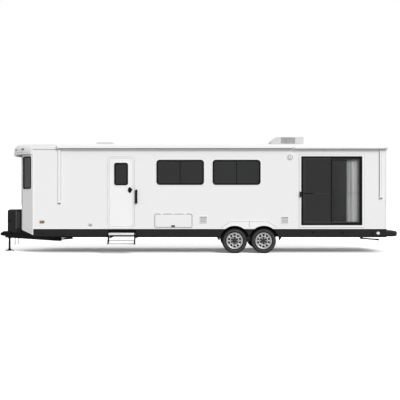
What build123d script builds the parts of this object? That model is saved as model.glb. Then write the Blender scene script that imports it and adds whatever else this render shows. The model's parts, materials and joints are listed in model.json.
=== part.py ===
from build123d import *
import os
from math import asin, cos, degrees, pi, radians, sin, sqrt, tan

# Travel caravan on two axles, parked on its tongue jack.
# X runs rearwards from the coupler's ball socket, Y to the off side (the doors are on -Y),
# and Z is the height over a datum just above the GROUND. Sizes are in millimetres. Every node moves
# down by COUPLER_HEIGHT when it is written, so that the ball socket's centre is the origin.

# Shell
GROUND = -25.0
COUPLER_HEIGHT = 460.0
BODY_FRONT = 1214.0
BODY_LENGTH = 9960.0
BODY_REAR = BODY_FRONT + BODY_LENGTH
HALF_WIDTH = 1220.0
WALL = 50.0
FLOOR_BOTTOM = 612.0
FLOOR_TOP = 662.0
WALL_TOP = 2960.0
ROOF_EDGE = 3054.0
ROOF_CROWN = 40.0

# Front bay and its brow
BAY_FRONT = 800.0
BAY_FACET = 390.0
BAY_HALF_WIDTH = HALF_WIDTH - BAY_FACET
BAY_SIDE_FRONT = BAY_FRONT + BAY_FACET
BAY_BOTTOM = 493.0
BAY_FRONT_BOTTOM = 627.0
BROW_FRONT = 409.0
BROW_CORNER = 1153.0
BROW_BOTTOM = 2780.0
BROW_LIP = 45.0
BROW_POCKET_TOP = 2880.0
BROW_EDGE_RADIUS = 195.0
BROW_RISE = 14.0

# Chassis
RAIL_Y = HALF_WIDTH - 340.0
RAIL_BOTTOM = 431.0
RAIL_WIDTH = 70.0
RAIL_WEB = 8.0
RAIL_FLANGE = 10.0
RAIL_REAR = BODY_REAR
CROSS_WIDTH = 60.0
CROSS_HEIGHT = 90.0
OUTRIGGER_THICK = 40.0
BEAM_ANGLE = 25.0
BEAM_WIDTH = 75.0
BEAM_HEIGHT = 175.0
BEAM_APEX = 40.0
BEAM_FRONT = 110.0
BEAM_FRONT_BOTTOM = 366.0
BEAM_DROP = 0.0335
BEAM_SPLIT = 20.0

# Coupler, jack and gas cover
SOCKET_RADIUS = 30.0
SOCKET_DEPTH = 70.0
SOCKET_SHELL = 18.0
COUPLER_CHEEK = 10.0
COUPLER_TOP = 554.0
COUPLER_REAR = 330.0
JACK_X = 225.0
JACK_TUBE_RADIUS = 36.0
JACK_LEG_RADIUS = 28.0
JACK_TUBE_BOTTOM = 330.0
JACK_TUBE_TOP = 730.0
JACK_LEG_TOP = 440.0
JACK_HEAD = (96.0, 110.0, 150.0)
JACK_COLLAR_RADIUS = 43.0
JACK_FOOT_RADIUS = 133.0
JACK_FOOT_FLARE = 62.0
COVER_FRONT = 200.0
COVER_SHOULDER = 513.0
COVER_REAR = 680.0
COVER_NOSE_HALF = 170.0
COVER_HALF_WIDTH = 330.0
COVER_TOP = 1207.0
COVER_CORNER = 60.0
COVER_CROWN = 46.0
COVER_NOTCH = 82.0
TRAY_THICK = 14.0

# Clearances
RUN_GAP = 0.3
DOOR_GAP = 6.0

# Wheels and running gear
WHEEL_X = (6894.0, 7714.0)
TYRE_RADIUS = 355.0
TYRE_WIDTH = 205.0
AXLE_Z = GROUND + TYRE_RADIUS
RIM_RADIUS = 213.0
FLANGE_RADIUS = 232.0
RIM_HALF_WIDTH = 80.0
RIM_FLANGE = 9.0
RIM_SHEET = 10.0
HOLE_COUNT = 10
HOLE_INNER = 134.0
HOLE_OUTER = 190.0
HOLE_FILL = 0.62
DISC_FACE = 48.0
WHEEL_Y = HALF_WIDTH - 124.0
ARCH_RADIUS = 425.0
ARCH_FLANGE = 70.0
HUB_RADIUS = 112.0
HUB_CAP = (42.0, 34.0, 52.0)
SPINDLE_RADIUS = 22.0
AXLE_RADIUS = 38.0
DRUM_RADIUS = 130.0
DRUM_BACK = 40.0
SPINDLE_END = 30.0
SPRING_HALF = 330.0
SPRING_THICK = 30.0
SPRING_WIDTH = 45.0
SPRING_RISE = 45.0
SPRING_SEAT = 12.0
EYE_RADIUS = 24.0
EYE_PIN = 8.0
HANGER_THICK = 8.0
WELL_FRONT = 6470.0
WELL_REAR = 8138.0
WELL_INNER_Y = HALF_WIDTH - 290.0
WELL_TOP = 905.0
WELL_SHEET = 6.0

# Skirt, fender panel and bumper
SKIRT_BOTTOM = 431.0
SKIRT_THICK = 12.0
SKIRT_FLANGE = 6.0
FENDER_THICK = 20.0
FENDER_TOP = 891.0
FENDER_TOP_ENDS = (6817.0, 7776.0)
FENDER_FOOT_ENDS = (6493.0, 8101.0)
FENDER_SHOULDER = (80.0, 862.0)
FENDER_FOOT = 679.0
SKIRT_TIP = 350.0
SKIRT_TIP_ENDS = (6394.0, 8214.0)
BUMPER_FRONT = BODY_REAR - 380.0
BUMPER_REAR = BODY_REAR + 346.0
BUMPER_BOTTOM = 454.0
BUMPER_TOP = 606.0
BUMPER_PROUD = 40.0
BUMPER_NOSE = 260.0
BUMPER_EDGE = 34.0
BUMPER_LAMP_X = BODY_REAR - 248.0

# Entry door, baggage door and patio doors
DOOR = dict(x0=3357.0, x1=4023.0, z0=733.0, z1=2659.0, r=70.0)
DOOR_TRIM = dict(x0=3304.0, x1=4065.0, z0=685.0, z1=2696.0, r=90.0)
DOOR_WINDOW = dict(x0=3495.0, x1=3887.0, z0=1898.0, z1=2532.0, r=60.0)
DOOR_THICK = 40.0
DOOR_PROUD = 18.0
TRIM_THICK = 12.0
LATCH = dict(x=3938.0, z=1765.0, width=104.0, height=160.0)
BAGGAGE = dict(x0=4646.0, x1=5681.0, z0=710.0, z1=1077.0, r=40.0)
BAGGAGE_THICK = 36.0
PATIO = dict(x0=BODY_REAR - 2402.0, x1=BODY_REAR - 685.0, z0=775.0, z1=2715.0, r=4.0)
PATIO_TRIM = dict(x0=BODY_REAR - 2459.0, x1=BODY_REAR - 620.0, z0=710.0, z1=2772.0, r=8.0)
PATIO_JAMB = 42.0
PATIO_STILE = 46.0
PATIO_MEETING_X = BODY_REAR - 1548.0
PATIO_LEAF_THICK = 26.0
PATIO_PROUD = 22.0
PATIO_SLIDER_OUT = 16.0
PATIO_FIXED_IN = 17.0
CURTAIN_FRONT = BODY_REAR - 1100.0
PORCH_LAMP = dict(x=BODY_REAR - 2710.0, z=2696.0, r=79.0)
CURTAIN_PLEATS = 6
CURTAIN_DEPTH = 44.0
CURTAIN_THICK = 8.0
HINGE_RADIUS = 9.0
HINGE_PIN = 4.0
HINGE_LENGTH = 90.0

# Windows
WINDOW_RIM = 28.0
WINDOW_PROUD = 10.0
GLASS_THICK = 6.0
MULLION = 16.0

# Awning
AWNING_PROUD = 110.0
AWNING_Z0 = 2922.0
AWNING_Z1 = 3046.0
AWNING_REAR_DROP = 12.0
AWNING_FRONT = 1902.0
AWNING_SPLIT = 8544.0
AWNING_REAR = BODY_REAR + 11.0
ARM_WIDTH = 75.0
ARM_PROUD = 40.0
ARM_TIP = 60.0

# Roof fittings
AC_FRONT = 7998.0
AC_REAR = 8962.0
AC_HALF_WIDTH = 350.0
AC_HEIGHT = 244.0
AC_TOP = ROOF_EDGE + ROOF_CROWN + AC_HEIGHT
AC_NOSE = (214.0, 126.0)
AC_EDGE = 14.0
AC_GRILLE = dict(x0=AC_FRONT + 299.0, x1=AC_FRONT + 709.0, z0=AC_TOP - 194.0, z1=AC_TOP - 18.0, depth=30.0)
AC_SLATS = 7
VENT_FRONT = 2855.0
VENT_SIZE = 489.0
VENT_REAR = VENT_FRONT + VENT_SIZE
VENT_BASE_TOP = ROOF_EDGE + ROOF_CROWN + 41.0
VENT_TOP = VENT_BASE_TOP + 58.0
VENT_WALL = 14.0
VENT_HINGE_OUT = 12.0

# Vents and hatches on the walls
VENT_PLATE = 14.0
VENT_BORDER = 14.0

# Step, stabilisers
STEP_FRONT = 3340.0
STEP_REAR = 4100.0
STEP_UPPER = (504.0, 562.0)
STEP_LOWER = (244.0, 270.0)
STEP_TREAD_DEPTH = 210.0
STEP_UPPER_OUT = HALF_WIDTH + 20.0
STEP_LOWER_OUT = HALF_WIDTH + 118.0
STEP_SIDE = 26.0
STEP_TUBE = dict(out=65.0, z=350.0, r=9.0)
STEP_BAR_Z = (400.0, 420.0)
STEP_TRAVEL = 310.0
STEP_BAR_HOLD = 200.0
STEP_RUNNER_OUT = STEP_UPPER_OUT - STEP_TRAVEL - DOOR_GAP
STEP_BAR_LENGTH = STEP_TRAVEL + DOOR_GAP + STEP_BAR_HOLD
STEP_RUNNER_IN = STEP_RUNNER_OUT - STEP_BAR_LENGTH
STEP_NOTCH_GAP = 12.0
STEP_NOTCH_TOP = 600.0
TREAD_SHEET = 5.0
LEG_LENGTH = 500.0
LEG_WIDTH = 44.0
LEG_DEPTH = 40.0
LEG_DROOP = 4.0
LEG_PIVOT_Z = 385.0
LEG_PIN = 8.0
LEG_FOOT = (90.0, 80.0, 8.0)
LEG_Y = RAIL_Y + 12.0


def block(x0, x1, y0, y1, z0, z1):
    """Box between two corners."""
    return Pos((x0 + x1) / 2, (y0 + y1) / 2, (z0 + z1) / 2) * Box(abs(x1 - x0), abs(y1 - y0), abs(z1 - z0))


def slab_x(profile, x0, x1):
    """Profile drawn in (y, z), extruded from x0 to x1."""
    return Pos(x0, 0, 0) * extrude(Plane.YZ * profile, x1 - x0)


def slab_y(profile, y0, y1):
    """Profile drawn in (x, z), extruded from y0 to y1."""
    return Pos(0, y1, 0) * extrude(Plane.XZ * profile, y1 - y0)


def slab_z(profile, z0, z1):
    """Profile drawn in (x, y), extruded from z0 to z1."""
    return Pos(0, 0, z0) * extrude(profile, z1 - z0)


def outline(points):
    return make_face(Polyline(*points, close=True))


def panel(x0, x1, z0, z1, r=0.0, grow=0.0):
    """Rectangle in (x, z), with round corners of radius r, grown all round."""
    width = x1 - x0 + 2 * grow
    height = z1 - z0 + 2 * grow
    radius = r + grow if r > 0 else 0
    shape = RectangleRounded(width, height, radius) if radius > 0.5 else Rectangle(width, height)
    return Pos((x0 + x1) / 2, (z0 + z1) / 2) * shape


def rod_x(x0, x1, y, z, radius):
    return Pos((x0 + x1) / 2, y, z) * Rot(0, 90, 0) * Cylinder(radius, x1 - x0)


def rod_y(x, y0, y1, z, radius):
    return Pos(x, (y0 + y1) / 2, z) * Rot(90, 0, 0) * Cylinder(radius, abs(y1 - y0))


def rod_z(x, y, z0, z1, radius):
    return Pos(x, y, (z0 + z1) / 2) * Cylinder(radius, z1 - z0)


def join(pieces):
    """One shape from pieces that touch."""
    pieces = list(pieces)
    return pieces[0] + pieces[1:] if len(pieces) > 1 else pieces[0]


def other_side(shape):
    """Mirror image on the off side."""
    return mirror(shape, about=Plane.XZ)


def both_sides(shape):
    return [shape, other_side(shape)]


def hinge(start, along, length=HINGE_LENGTH):
    """Knuckles of a hinge from a start point: the fixed pair with its pin, and the moving one between."""
    third = length / 3
    turn = {"x": Rot(0, 90, 0), "y": Rot(-90, 0, 0), "z": Rot(0, 0, 0)}[along]

    def barrel(z0, z1, radius):
        return Pos(0, 0, (z0 + z1) / 2) * Cylinder(radius, z1 - z0)

    fixed = join([barrel(0, third, HINGE_RADIUS), barrel(length - third, length, HINGE_RADIUS),
                  barrel(0, length, HINGE_PIN)])
    moving = barrel(third + RUN_GAP, length - third - RUN_GAP, HINGE_RADIUS)
    moving -= barrel(0, length, HINGE_PIN + RUN_GAP)
    place = Pos(*start) * turn
    return place * fixed, place * moving


def beam_top(x):
    """Height of the A-frame's sloping top."""
    return BEAM_FRONT_BOTTOM + BEAM_HEIGHT - BEAM_DROP * (x - BEAM_FRONT)


def beam_strip(inner, outer, x0, x1, y0, y1):
    """Plan of a strip along one A-frame beam, between two offsets from its centre line."""
    along = (cos(radians(BEAM_ANGLE)), sin(radians(BEAM_ANGLE)))
    across = (-along[1], along[0])
    reach = 4000.0

    def at(distance, offset):
        return (BEAM_APEX + distance * along[0] + offset * across[0],
                distance * along[1] + offset * across[1])

    strip = outline([at(-reach, inner), at(reach, inner), at(reach, outer), at(-reach, outer)])
    window = Pos((x0 + x1) / 2, (y0 + y1) / 2) * Rectangle(x1 - x0, y1 - y0)
    return strip & window


def main_rails():
    half = RAIL_WIDTH / 2
    beam = block(BODY_FRONT, RAIL_REAR, RAIL_Y - half, RAIL_Y + half, RAIL_BOTTOM, FLOOR_BOTTOM)
    for side in (-1, 1):
        y0 = RAIL_Y + side * RAIL_WEB / 2
        beam -= block(BODY_FRONT, RAIL_REAR, y0, RAIL_Y + side * half,
                      RAIL_BOTTOM + RAIL_FLANGE, FLOOR_BOTTOM - RAIL_FLANGE)
    return both_sides(beam)


def cross_members():
    """Tubes between the rails' webs, just under the floor, and the front sill over the A-frame."""
    y1 = RAIL_Y - RAIL_WEB / 2
    top = FLOOR_BOTTOM - RAIL_FLANGE
    half = CROSS_WIDTH / 2
    places = [2360.0, 3160.0, 4300.0, 5400.0, 6300.0, sum(WHEEL_X) / 2]
    places += [BODY_REAR - back for back in (2874.0, 1874.0, 874.0, 154.0)]
    bars = [block(x - half, x + half, -y1, y1, top - CROSS_HEIGHT, top) for x in places]
    bars.append(block(BODY_FRONT, BODY_FRONT + CROSS_WIDTH, -y1, y1, top - CROSS_HEIGHT, top))
    return bars


def outriggers():
    """Tapered brackets from the rails to the floor's edges."""
    places = [1500.0, 2000.0, 2700.0, 3250.0, 4250.0, 4900.0, 5500.0, 6200.0]
    places += [BODY_REAR - back for back in (2754.0, 2174.0, 1574.0, 974.0)]
    y0 = RAIL_Y + RAIL_WIDTH / 2
    y1 = HALF_WIDTH - 8
    shape = outline([(y0, FLOOR_BOTTOM), (y1, FLOOR_BOTTOM), (y1, FLOOR_BOTTOM - 45),
                     (y0, RAIL_BOTTOM + 20)])
    half = OUTRIGGER_THICK / 2
    pieces = []
    for x in places:
        pieces += both_sides(slab_x(shape, x - half, x + half))
    return pieces


def beam_side():
    """Side view of the A-frame: a long strip that slopes down to the rear."""
    x0 = BEAM_FRONT - 300
    x1 = BEAM_FRONT + 2400
    return outline([(x0, beam_top(x0)), (x1, beam_top(x1)),
                    (x1, beam_top(x1) - BEAM_HEIGHT), (x0, beam_top(x0) - BEAM_HEIGHT)])


def a_frame():
    half = BEAM_WIDTH / 2
    plan = beam_strip(-half, half, BEAM_FRONT, 3000.0, BEAM_SPLIT, RAIL_Y - RAIL_WIDTH / 2)
    beam = slab_z(plan, 0, FLOOR_BOTTOM) & slab_y(beam_side(), 0, HALF_WIDTH)
    return both_sides(beam)


def coupler():
    """Ball socket under a nose that spreads into cheeks along both beams, with a top plate for the jack."""
    socket_bottom = COUPLER_HEIGHT - SOCKET_DEPTH / 2
    shell = SOCKET_RADIUS + SOCKET_SHELL
    dome_top = socket_bottom + SOCKET_DEPTH + SOCKET_SHELL
    half = BEAM_WIDTH / 2
    cheek = beam_strip(half, half + COUPLER_CHEEK, BEAM_APEX, COUPLER_REAR, 0, HALF_WIDTH)
    cheek = slab_z(cheek, beam_top(COUPLER_REAR) - 120, COUPLER_TOP)
    beam_tip_y = (BEAM_FRONT - BEAM_APEX) * tan(radians(BEAM_ANGLE)) + half + COUPLER_CHEEK
    nose = outline([(0, -shell), (BEAM_FRONT, -beam_tip_y), (BEAM_FRONT, beam_tip_y), (0, shell)])
    side = outline([(-shell, socket_bottom + 20), (-shell, dome_top - SOCKET_SHELL), (60, COUPLER_TOP),
                    (BEAM_FRONT, COUPLER_TOP), (BEAM_FRONT, socket_bottom + 20)])
    nose = slab_z(nose, socket_bottom, COUPLER_TOP) & slab_y(side, -HALF_WIDTH, HALF_WIDTH)
    dome = rod_z(0, 0, socket_bottom, dome_top, shell)
    dome = chamfer(dome.edges().group_by(Axis.Z)[-1], SOCKET_SHELL * 0.8)
    rear_y = (COUPLER_REAR - BEAM_APEX) * tan(radians(BEAM_ANGLE)) + half
    plate = outline([(BEAM_FRONT, -beam_tip_y), (COUPLER_REAR, -rear_y), (COUPLER_REAR, rear_y),
                     (BEAM_FRONT, beam_tip_y)])
    plate = slab_z(plate, beam_top(BEAM_FRONT) + 1, COUPLER_TOP)
    body = join([nose, dome, plate, cheek, other_side(cheek)])
    body -= rod_z(0, 0, socket_bottom, socket_bottom + SOCKET_DEPTH, SOCKET_RADIUS)
    body -= rod_z(JACK_X, 0, 0, COUPLER_TOP, JACK_TUBE_RADIUS + RUN_GAP)
    return [body]


def jack_housing():
    """Outer tube with its flange, the collar at its foot and the drive head."""
    tube = rod_z(JACK_X, 0, JACK_TUBE_BOTTOM, JACK_TUBE_TOP, JACK_TUBE_RADIUS)
    collar = rod_z(JACK_X, 0, JACK_TUBE_BOTTOM, JACK_TUBE_BOTTOM + 28, JACK_COLLAR_RADIUS)
    flange = rod_z(JACK_X, 0, COUPLER_TOP, COUPLER_TOP + 12, JACK_TUBE_RADIUS + 22)
    width, depth, height = JACK_HEAD
    head = Pos(JACK_X, 0, JACK_TUBE_TOP) * extrude(RectangleRounded(width, depth, 24), height)
    head = chamfer(head.edges().group_by(Axis.Z)[-1], 16)
    body = join([tube, collar, flange, head])
    return [body - rod_z(JACK_X, 0, JACK_TUBE_BOTTOM, JACK_TUBE_TOP, JACK_LEG_RADIUS + RUN_GAP)]


def jack_leg():
    """Inner tube on a flared foot."""
    r, z = JACK_LEG_RADIUS, GROUND
    half = outline([(0, z), (JACK_FOOT_RADIUS, z), (JACK_FOOT_RADIUS, z + 10),
                    (2 * r, z + JACK_FOOT_FLARE * 0.45), (r, z + JACK_FOOT_FLARE), (r, JACK_LEG_TOP),
                    (0, JACK_LEG_TOP)])
    return [Pos(JACK_X, 0, 0) * revolve(Plane.XZ * half, Axis.Z)]


def octagon(half_width, half_height, cut):
    """Upright rectangle with its corners cut, drawn about the origin."""
    w, h = half_width, half_height
    half = [(w, -h + cut), (w, h - cut), (w - cut, h), (cut - w, h)]
    return outline(half + [(-x, -z) for x, z in half])


def chain_link(wire, inner_half, half_width):
    """Long link in the (x, z) plane, its long axis upright."""
    outer = octagon(half_width + wire, inner_half + 2 * wire, 2 * wire)
    inner = octagon(half_width - wire, inner_half, wire)
    return slab_y(outer - inner, -wire, wire)


def safety_chains(beams):
    """Two short chains, each with its first link welded under an A-frame beam."""
    wire = 5.0
    inner_half = 18.0
    half_width = 12.0
    x = 440.0
    count = 5
    y = (x - BEAM_APEX) * tan(radians(BEAM_ANGLE))
    top = beam_top(x) - BEAM_HEIGHT
    pitch = 2 * inner_half + 1
    link = chain_link(wire, inner_half, half_width)
    links = []
    for i in range(count):
        links.append(Pos(x, -y, top - inner_half - 2 - i * pitch) * Rot(0, 0, 90 * (i % 2)) * link)
    return both_sides(join(links) - beams[0] - beams[1])


def gas_tray():
    """Tray that levels the gas cover on the sloping beams."""
    plate = block(COVER_FRONT, COVER_REAR, -COVER_HALF_WIDTH, COVER_HALF_WIDTH,
                  COUPLER_TOP, COUPLER_TOP + TRAY_THICK)
    x0 = COUPLER_REAR + 20
    plate -= block(COVER_FRONT, x0, -COVER_HALF_WIDTH, COVER_HALF_WIDTH, COUPLER_TOP, COUPLER_TOP + 1)
    wedge = outline([(x0, COUPLER_TOP), (COVER_REAR, COUPLER_TOP), (COVER_REAR, beam_top(COVER_REAR)),
                     (x0, beam_top(x0))])
    wedge = slab_y(wedge, -COVER_HALF_WIDTH, COVER_HALF_WIDTH)
    return (plate + wedge) & slab_z(cover_plan(), beam_top(COVER_REAR), COVER_TOP)


def cover_plan():
    """Plan of the gas cover: a nose that spreads to the full width, with round corners."""
    half = [(COVER_FRONT, COVER_NOSE_HALF), (COVER_SHOULDER, COVER_HALF_WIDTH), (COVER_REAR, COVER_HALF_WIDTH)]
    plan = outline(half + [(x, -y) for x, y in reversed(half)])
    return fillet(plan.vertices(), COVER_CORNER)


def jack_notch():
    """Room for the jack, open to the front."""
    reach = COVER_NOTCH
    slot = block(COVER_FRONT - reach, JACK_X, -reach, reach, GROUND, COVER_TOP)
    return slot + rod_z(JACK_X, 0, GROUND, COVER_TOP, reach)


def gas_bottle_cover():
    """Moulded cover over two bottles, with a sloping crown, on its tray."""
    bottom = COUPLER_TOP + TRAY_THICK
    cover = slab_z(cover_plan(), bottom, COVER_TOP)
    cover = chamfer(cover.edges().group_by(Axis.Z)[-1], COVER_CROWN)
    return [cover + gas_tray() - jack_notch()]


# Windows: wall, centre along the wall, sill, head, width, corner radius, number of panes
WINDOWS = [
    dict(wall="door", at=5356.5, z0=1909.0, z1=2617.0, width=1343.0, r=93.0, panes=2),
    dict(wall="door", at=6947.0, z0=1909.0, z1=2617.0, width=1354.0, r=93.0, panes=2),
    dict(wall="off", at=2500.0, z0=1909.0, z1=2617.0, width=900.0, r=93.0, panes=1),
    dict(wall="off", at=5150.0, z0=1909.0, z1=2617.0, width=1343.0, r=93.0, panes=2),
    dict(wall="off", at=BODY_REAR - 1674.0, z0=1909.0, z1=2617.0, width=1343.0, r=93.0, panes=2),
    dict(wall="front", at=0.0, z0=1796.0, z1=2725.0, width=1300.0, r=60.0, panes=1),
    dict(wall="front door side", at=0.0, z0=1796.0, z1=2725.0, width=430.0, r=60.0, panes=1),
    dict(wall="front off side", at=0.0, z0=1796.0, z1=2725.0, width=430.0, r=60.0, panes=1),
    dict(wall="rear", at=0.0, z0=1909.0, z1=2617.0, width=1200.0, r=93.0, panes=1),
]
FACET_X = (BAY_FRONT + BAY_SIDE_FRONT) / 2
FACET_Y = (BAY_HALF_WIDTH + HALF_WIDTH) / 2


def on_wall(wall, at):
    """Place on a wall's outer face, where local -Y points outwards and local X runs along the wall."""
    return {
        "door": Pos(at, -HALF_WIDTH, 0),
        "off": Pos(at, HALF_WIDTH, 0) * Rot(0, 0, 180),
        "front": Pos(BAY_FRONT, at, 0) * Rot(0, 0, -90),
        "front door side": Pos(FACET_X, -FACET_Y, 0) * Rot(0, 0, -45),
        "front off side": Pos(FACET_X, FACET_Y, 0) * Rot(0, 0, -135),
        "rear": Pos(BODY_REAR, at, 0) * Rot(0, 0, 90),
    }[wall]


def window_shape(window, grow):
    half = window["width"] / 2
    return panel(-half, half, window["z0"], window["z1"], window["r"], grow)


def window_holes(walls):
    """Cutters for the windows of the named walls."""
    return [on_wall(w["wall"], w["at"]) * slab_y(window_shape(w, -WINDOW_RIM / 2), -WALL, 2 * WALL)
            for w in WINDOWS if w["wall"] in walls]


def window_frames():
    """Rims: an outer flange on the wall and a sleeve through it, with a bar between two panes."""
    frames = []
    for w in WINDOWS:
        opening = slab_y(window_shape(w, -WINDOW_RIM), -WALL, 2 * WALL)
        flange = slab_y(window_shape(w, 0), -WINDOW_PROUD, 0)
        sleeve = slab_y(window_shape(w, -WINDOW_RIM / 2 - RUN_GAP), 0, WALL)
        rim = flange + sleeve - opening
        if w["panes"] == 2:
            rim += block(-MULLION / 2, MULLION / 2, -WINDOW_PROUD / 2, WALL / 2,
                         w["z0"] + WINDOW_RIM / 2, w["z1"] - WINDOW_RIM / 2)
        frames.append(on_wall(w["wall"], w["at"]) * rim)
    return frames


def window_glass():
    """Panes within the rims."""
    panes = []
    for w in WINDOWS:
        pane = slab_y(window_shape(w, -WINDOW_RIM - RUN_GAP), GLASS_THICK, 2 * GLASS_THICK)
        if w["panes"] == 2:
            half = MULLION / 2 + RUN_GAP
            pane -= block(-half, half, 0, WALL, w["z0"], w["z1"])
        panes.append(on_wall(w["wall"], w["at"]) * pane)
    return panes


def side_wall():
    return slab_y(panel(BODY_FRONT, BODY_REAR, FLOOR_TOP, WALL_TOP), -HALF_WIDTH, -HALF_WIDTH + WALL)


def arch_cutters(y0, y1):
    return [rod_y(x, y0, y1, AXLE_Z, ARCH_RADIUS) for x in WHEEL_X]


def door_side_wall():
    y0 = -HALF_WIDTH - WALL
    y1 = -HALF_WIDTH + 2 * WALL
    cuts = [slab_y(panel(**shape, grow=grow), y0, y1)
            for shape, grow in ((DOOR, DOOR_GAP), (BAGGAGE, DOOR_GAP), (PATIO, 0.0))]
    return [side_wall() - cuts - arch_cutters(y0, y1) - window_holes(["door"])]


def off_side_wall():
    y1 = HALF_WIDTH + WALL
    y0 = HALF_WIDTH - 2 * WALL
    return [other_side(side_wall()) - arch_cutters(y0, y1) - window_holes(["off"])]


def bay_plan(inset):
    """Plan of the front bay, set in from its outer face."""
    corner = inset * (sqrt(2) - 1)
    y_side = HALF_WIDTH - inset
    half = [(BAY_FRONT + inset, BAY_HALF_WIDTH - corner), (BAY_SIDE_FRONT + corner, y_side),
            (BODY_FRONT, y_side)]
    return outline(half + [(x, -y) for x, y in reversed(half)])


def front_wall():
    """Three-faced bay whose lower edge rises towards the front."""
    shell = slab_z(bay_plan(0), BAY_BOTTOM, WALL_TOP) - slab_z(bay_plan(WALL), BAY_BOTTOM, WALL_TOP)
    rise = outline([(BAY_FRONT, BAY_BOTTOM), (BODY_FRONT, BAY_BOTTOM), (BAY_FRONT, BAY_FRONT_BOTTOM)])
    shell -= slab_y(rise, -HALF_WIDTH, HALF_WIDTH)
    return [shell - window_holes(["front", "front door side", "front off side"])]


def rear_wall():
    wall = block(BODY_REAR - WALL, BODY_REAR, -HALF_WIDTH + WALL, HALF_WIDTH - WALL, FLOOR_TOP, WALL_TOP)
    return [wall - window_holes(["rear"])]


def floor():
    """Deck with the bay's floor at its front and notches for the wheel wells."""
    deck = block(BODY_FRONT, BODY_REAR, -HALF_WIDTH, HALF_WIDTH, FLOOR_BOTTOM, FLOOR_TOP)
    deck += slab_z(bay_plan(WALL), FLOOR_BOTTOM, FLOOR_TOP)
    for side in (-1, 1):
        deck -= block(WELL_FRONT, WELL_REAR, side * WELL_INNER_Y, side * HALF_WIDTH, FLOOR_BOTTOM, FLOOR_TOP)
    return [deck]


def roof_profile(bottom):
    """Crowned cross-section of the roof in (y, z)."""
    edges = Polyline((HALF_WIDTH, ROOF_EDGE), (HALF_WIDTH, bottom), (-HALF_WIDTH, bottom),
                     (-HALF_WIDTH, ROOF_EDGE))
    crown = ThreePointArc((-HALF_WIDTH, ROOF_EDGE), (0, ROOF_EDGE + ROOF_CROWN), (HALF_WIDTH, ROOF_EDGE))
    return make_face([edges, crown])


def vent_centre():
    return (VENT_FRONT + VENT_REAR) / 2


def roof():
    shell = slab_x(roof_profile(WALL_TOP), BODY_FRONT, BODY_REAR)
    half = (VENT_REAR - VENT_FRONT) / 2 - VENT_WALL - 20
    x = vent_centre()
    return [shell - block(x - half, x + half, -half, half, WALL_TOP, VENT_TOP)]


def brow_arc():
    """Radius of the brow's plan arc and the X of its centre."""
    depth = BROW_CORNER - BROW_FRONT
    radius = (HALF_WIDTH ** 2 + depth ** 2) / (2 * depth)
    return radius, BROW_FRONT + radius


def brow_plan(inset):
    radius, centre = brow_arc()
    half_width = HALF_WIDTH - inset
    corner = centre - sqrt((radius - inset) ** 2 - half_width ** 2)
    arc = ThreePointArc((corner, -half_width), (BROW_FRONT + inset, 0), (corner, half_width))
    sides = Polyline((corner, half_width), (BODY_FRONT, half_width), (BODY_FRONT, -half_width),
                     (corner, -half_width))
    return make_face([arc, sides])


def front_brow():
    """Visor over the bay: turned with a round top edge, crowned like the roof, with a pocket behind a lip."""
    _, centre = brow_arc()
    top = ROOF_EDGE + ROOF_CROWN + BROW_RISE
    edge = BROW_EDGE_RADIUS
    bend = edge * (1 - sqrt(0.5))
    lines = [
        Polyline((BROW_FRONT, top - edge), (BROW_FRONT, BROW_BOTTOM), (centre, BROW_BOTTOM), (centre, top),
                 (BROW_FRONT + edge, top)),
        ThreePointArc((BROW_FRONT + edge, top), (BROW_FRONT + bend, top - bend), (BROW_FRONT, top - edge)),
    ]
    cap = revolve(Plane.XZ * make_face(lines), Axis((centre, 0, 0), (0, 0, 1)))
    cap &= slab_x(roof_profile(BROW_BOTTOM), 0, BODY_FRONT)
    cap -= slab_z(brow_plan(BROW_LIP), BROW_BOTTOM, BROW_POCKET_TOP)
    return [cap - slab_z(bay_plan(0), BROW_BOTTOM, WALL_TOP)]


# Clearance lamps on the brow: distance from the middle
BROW_LAMPS = [side * (HALF_WIDTH - inset) for side in (-1, 1) for inset in (190.0, 540.0)] + [0.0]
BROW_LAMP_Z = 2930.0
# Lamps on the rear wall: y, z, width, height
TAIL_LAMPS = [(140.0 - HALF_WIDTH, 1060.0, 130.0, 240.0), (HALF_WIDTH - 140.0, 1060.0, 130.0, 240.0),
              (-160.0, 2880.0, 90.0, 34.0), (0.0, 2880.0, 90.0, 34.0), (160.0, 2880.0, 90.0, 34.0)]


def lens(width, height, depth, sunk=0.0):
    """Lamp lens on a wall, local -Y outwards, with its back sunk into a seat that is cut later."""
    corner = min(width, height) * 0.24
    body = slab_y(octagon(width / 2, height / 2, corner), -depth, sunk)
    return chamfer(body.edges().group_by(Axis.Y)[0], min(depth, corner) * 0.5)


def red_lamps(brow):
    radius, centre = brow_arc()
    lamps = []
    for y in BROW_LAMPS:
        x = centre - sqrt(radius ** 2 - y ** 2)
        turn = Rot(0, 0, -90 - degrees(asin(y / radius)))
        lamps.append(Pos(x, y, BROW_LAMP_Z) * turn * lens(105, 42, 22, sunk=16) - brow)
    for y, z, width, height in TAIL_LAMPS:
        lamps.append(on_wall("rear", y) * Pos(0, 0, z) * lens(width, height, 30))
    return lamps


def amber_lamps():
    lamp = on_wall("door", 1458) * Pos(0, 0, 863) * lens(122, 62, 24)
    return both_sides(lamp)


def white_lamps():
    """Porch lamp by the patio door and the lamps on the bumper's sides."""
    porch = rod_y(PORCH_LAMP["x"], -HALF_WIDTH - 30, -HALF_WIDTH, PORCH_LAMP["z"], PORCH_LAMP["r"])
    porch = chamfer(porch.edges().group_by(Axis.Y)[0], 12)
    y = HALF_WIDTH + SKIRT_THICK + BUMPER_PROUD
    side = Pos(BUMPER_LAMP_X, -y, 552) * slab_y(RectangleRounded(90, 78, 36), -14, 0)
    return [porch] + both_sides(side)


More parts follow.
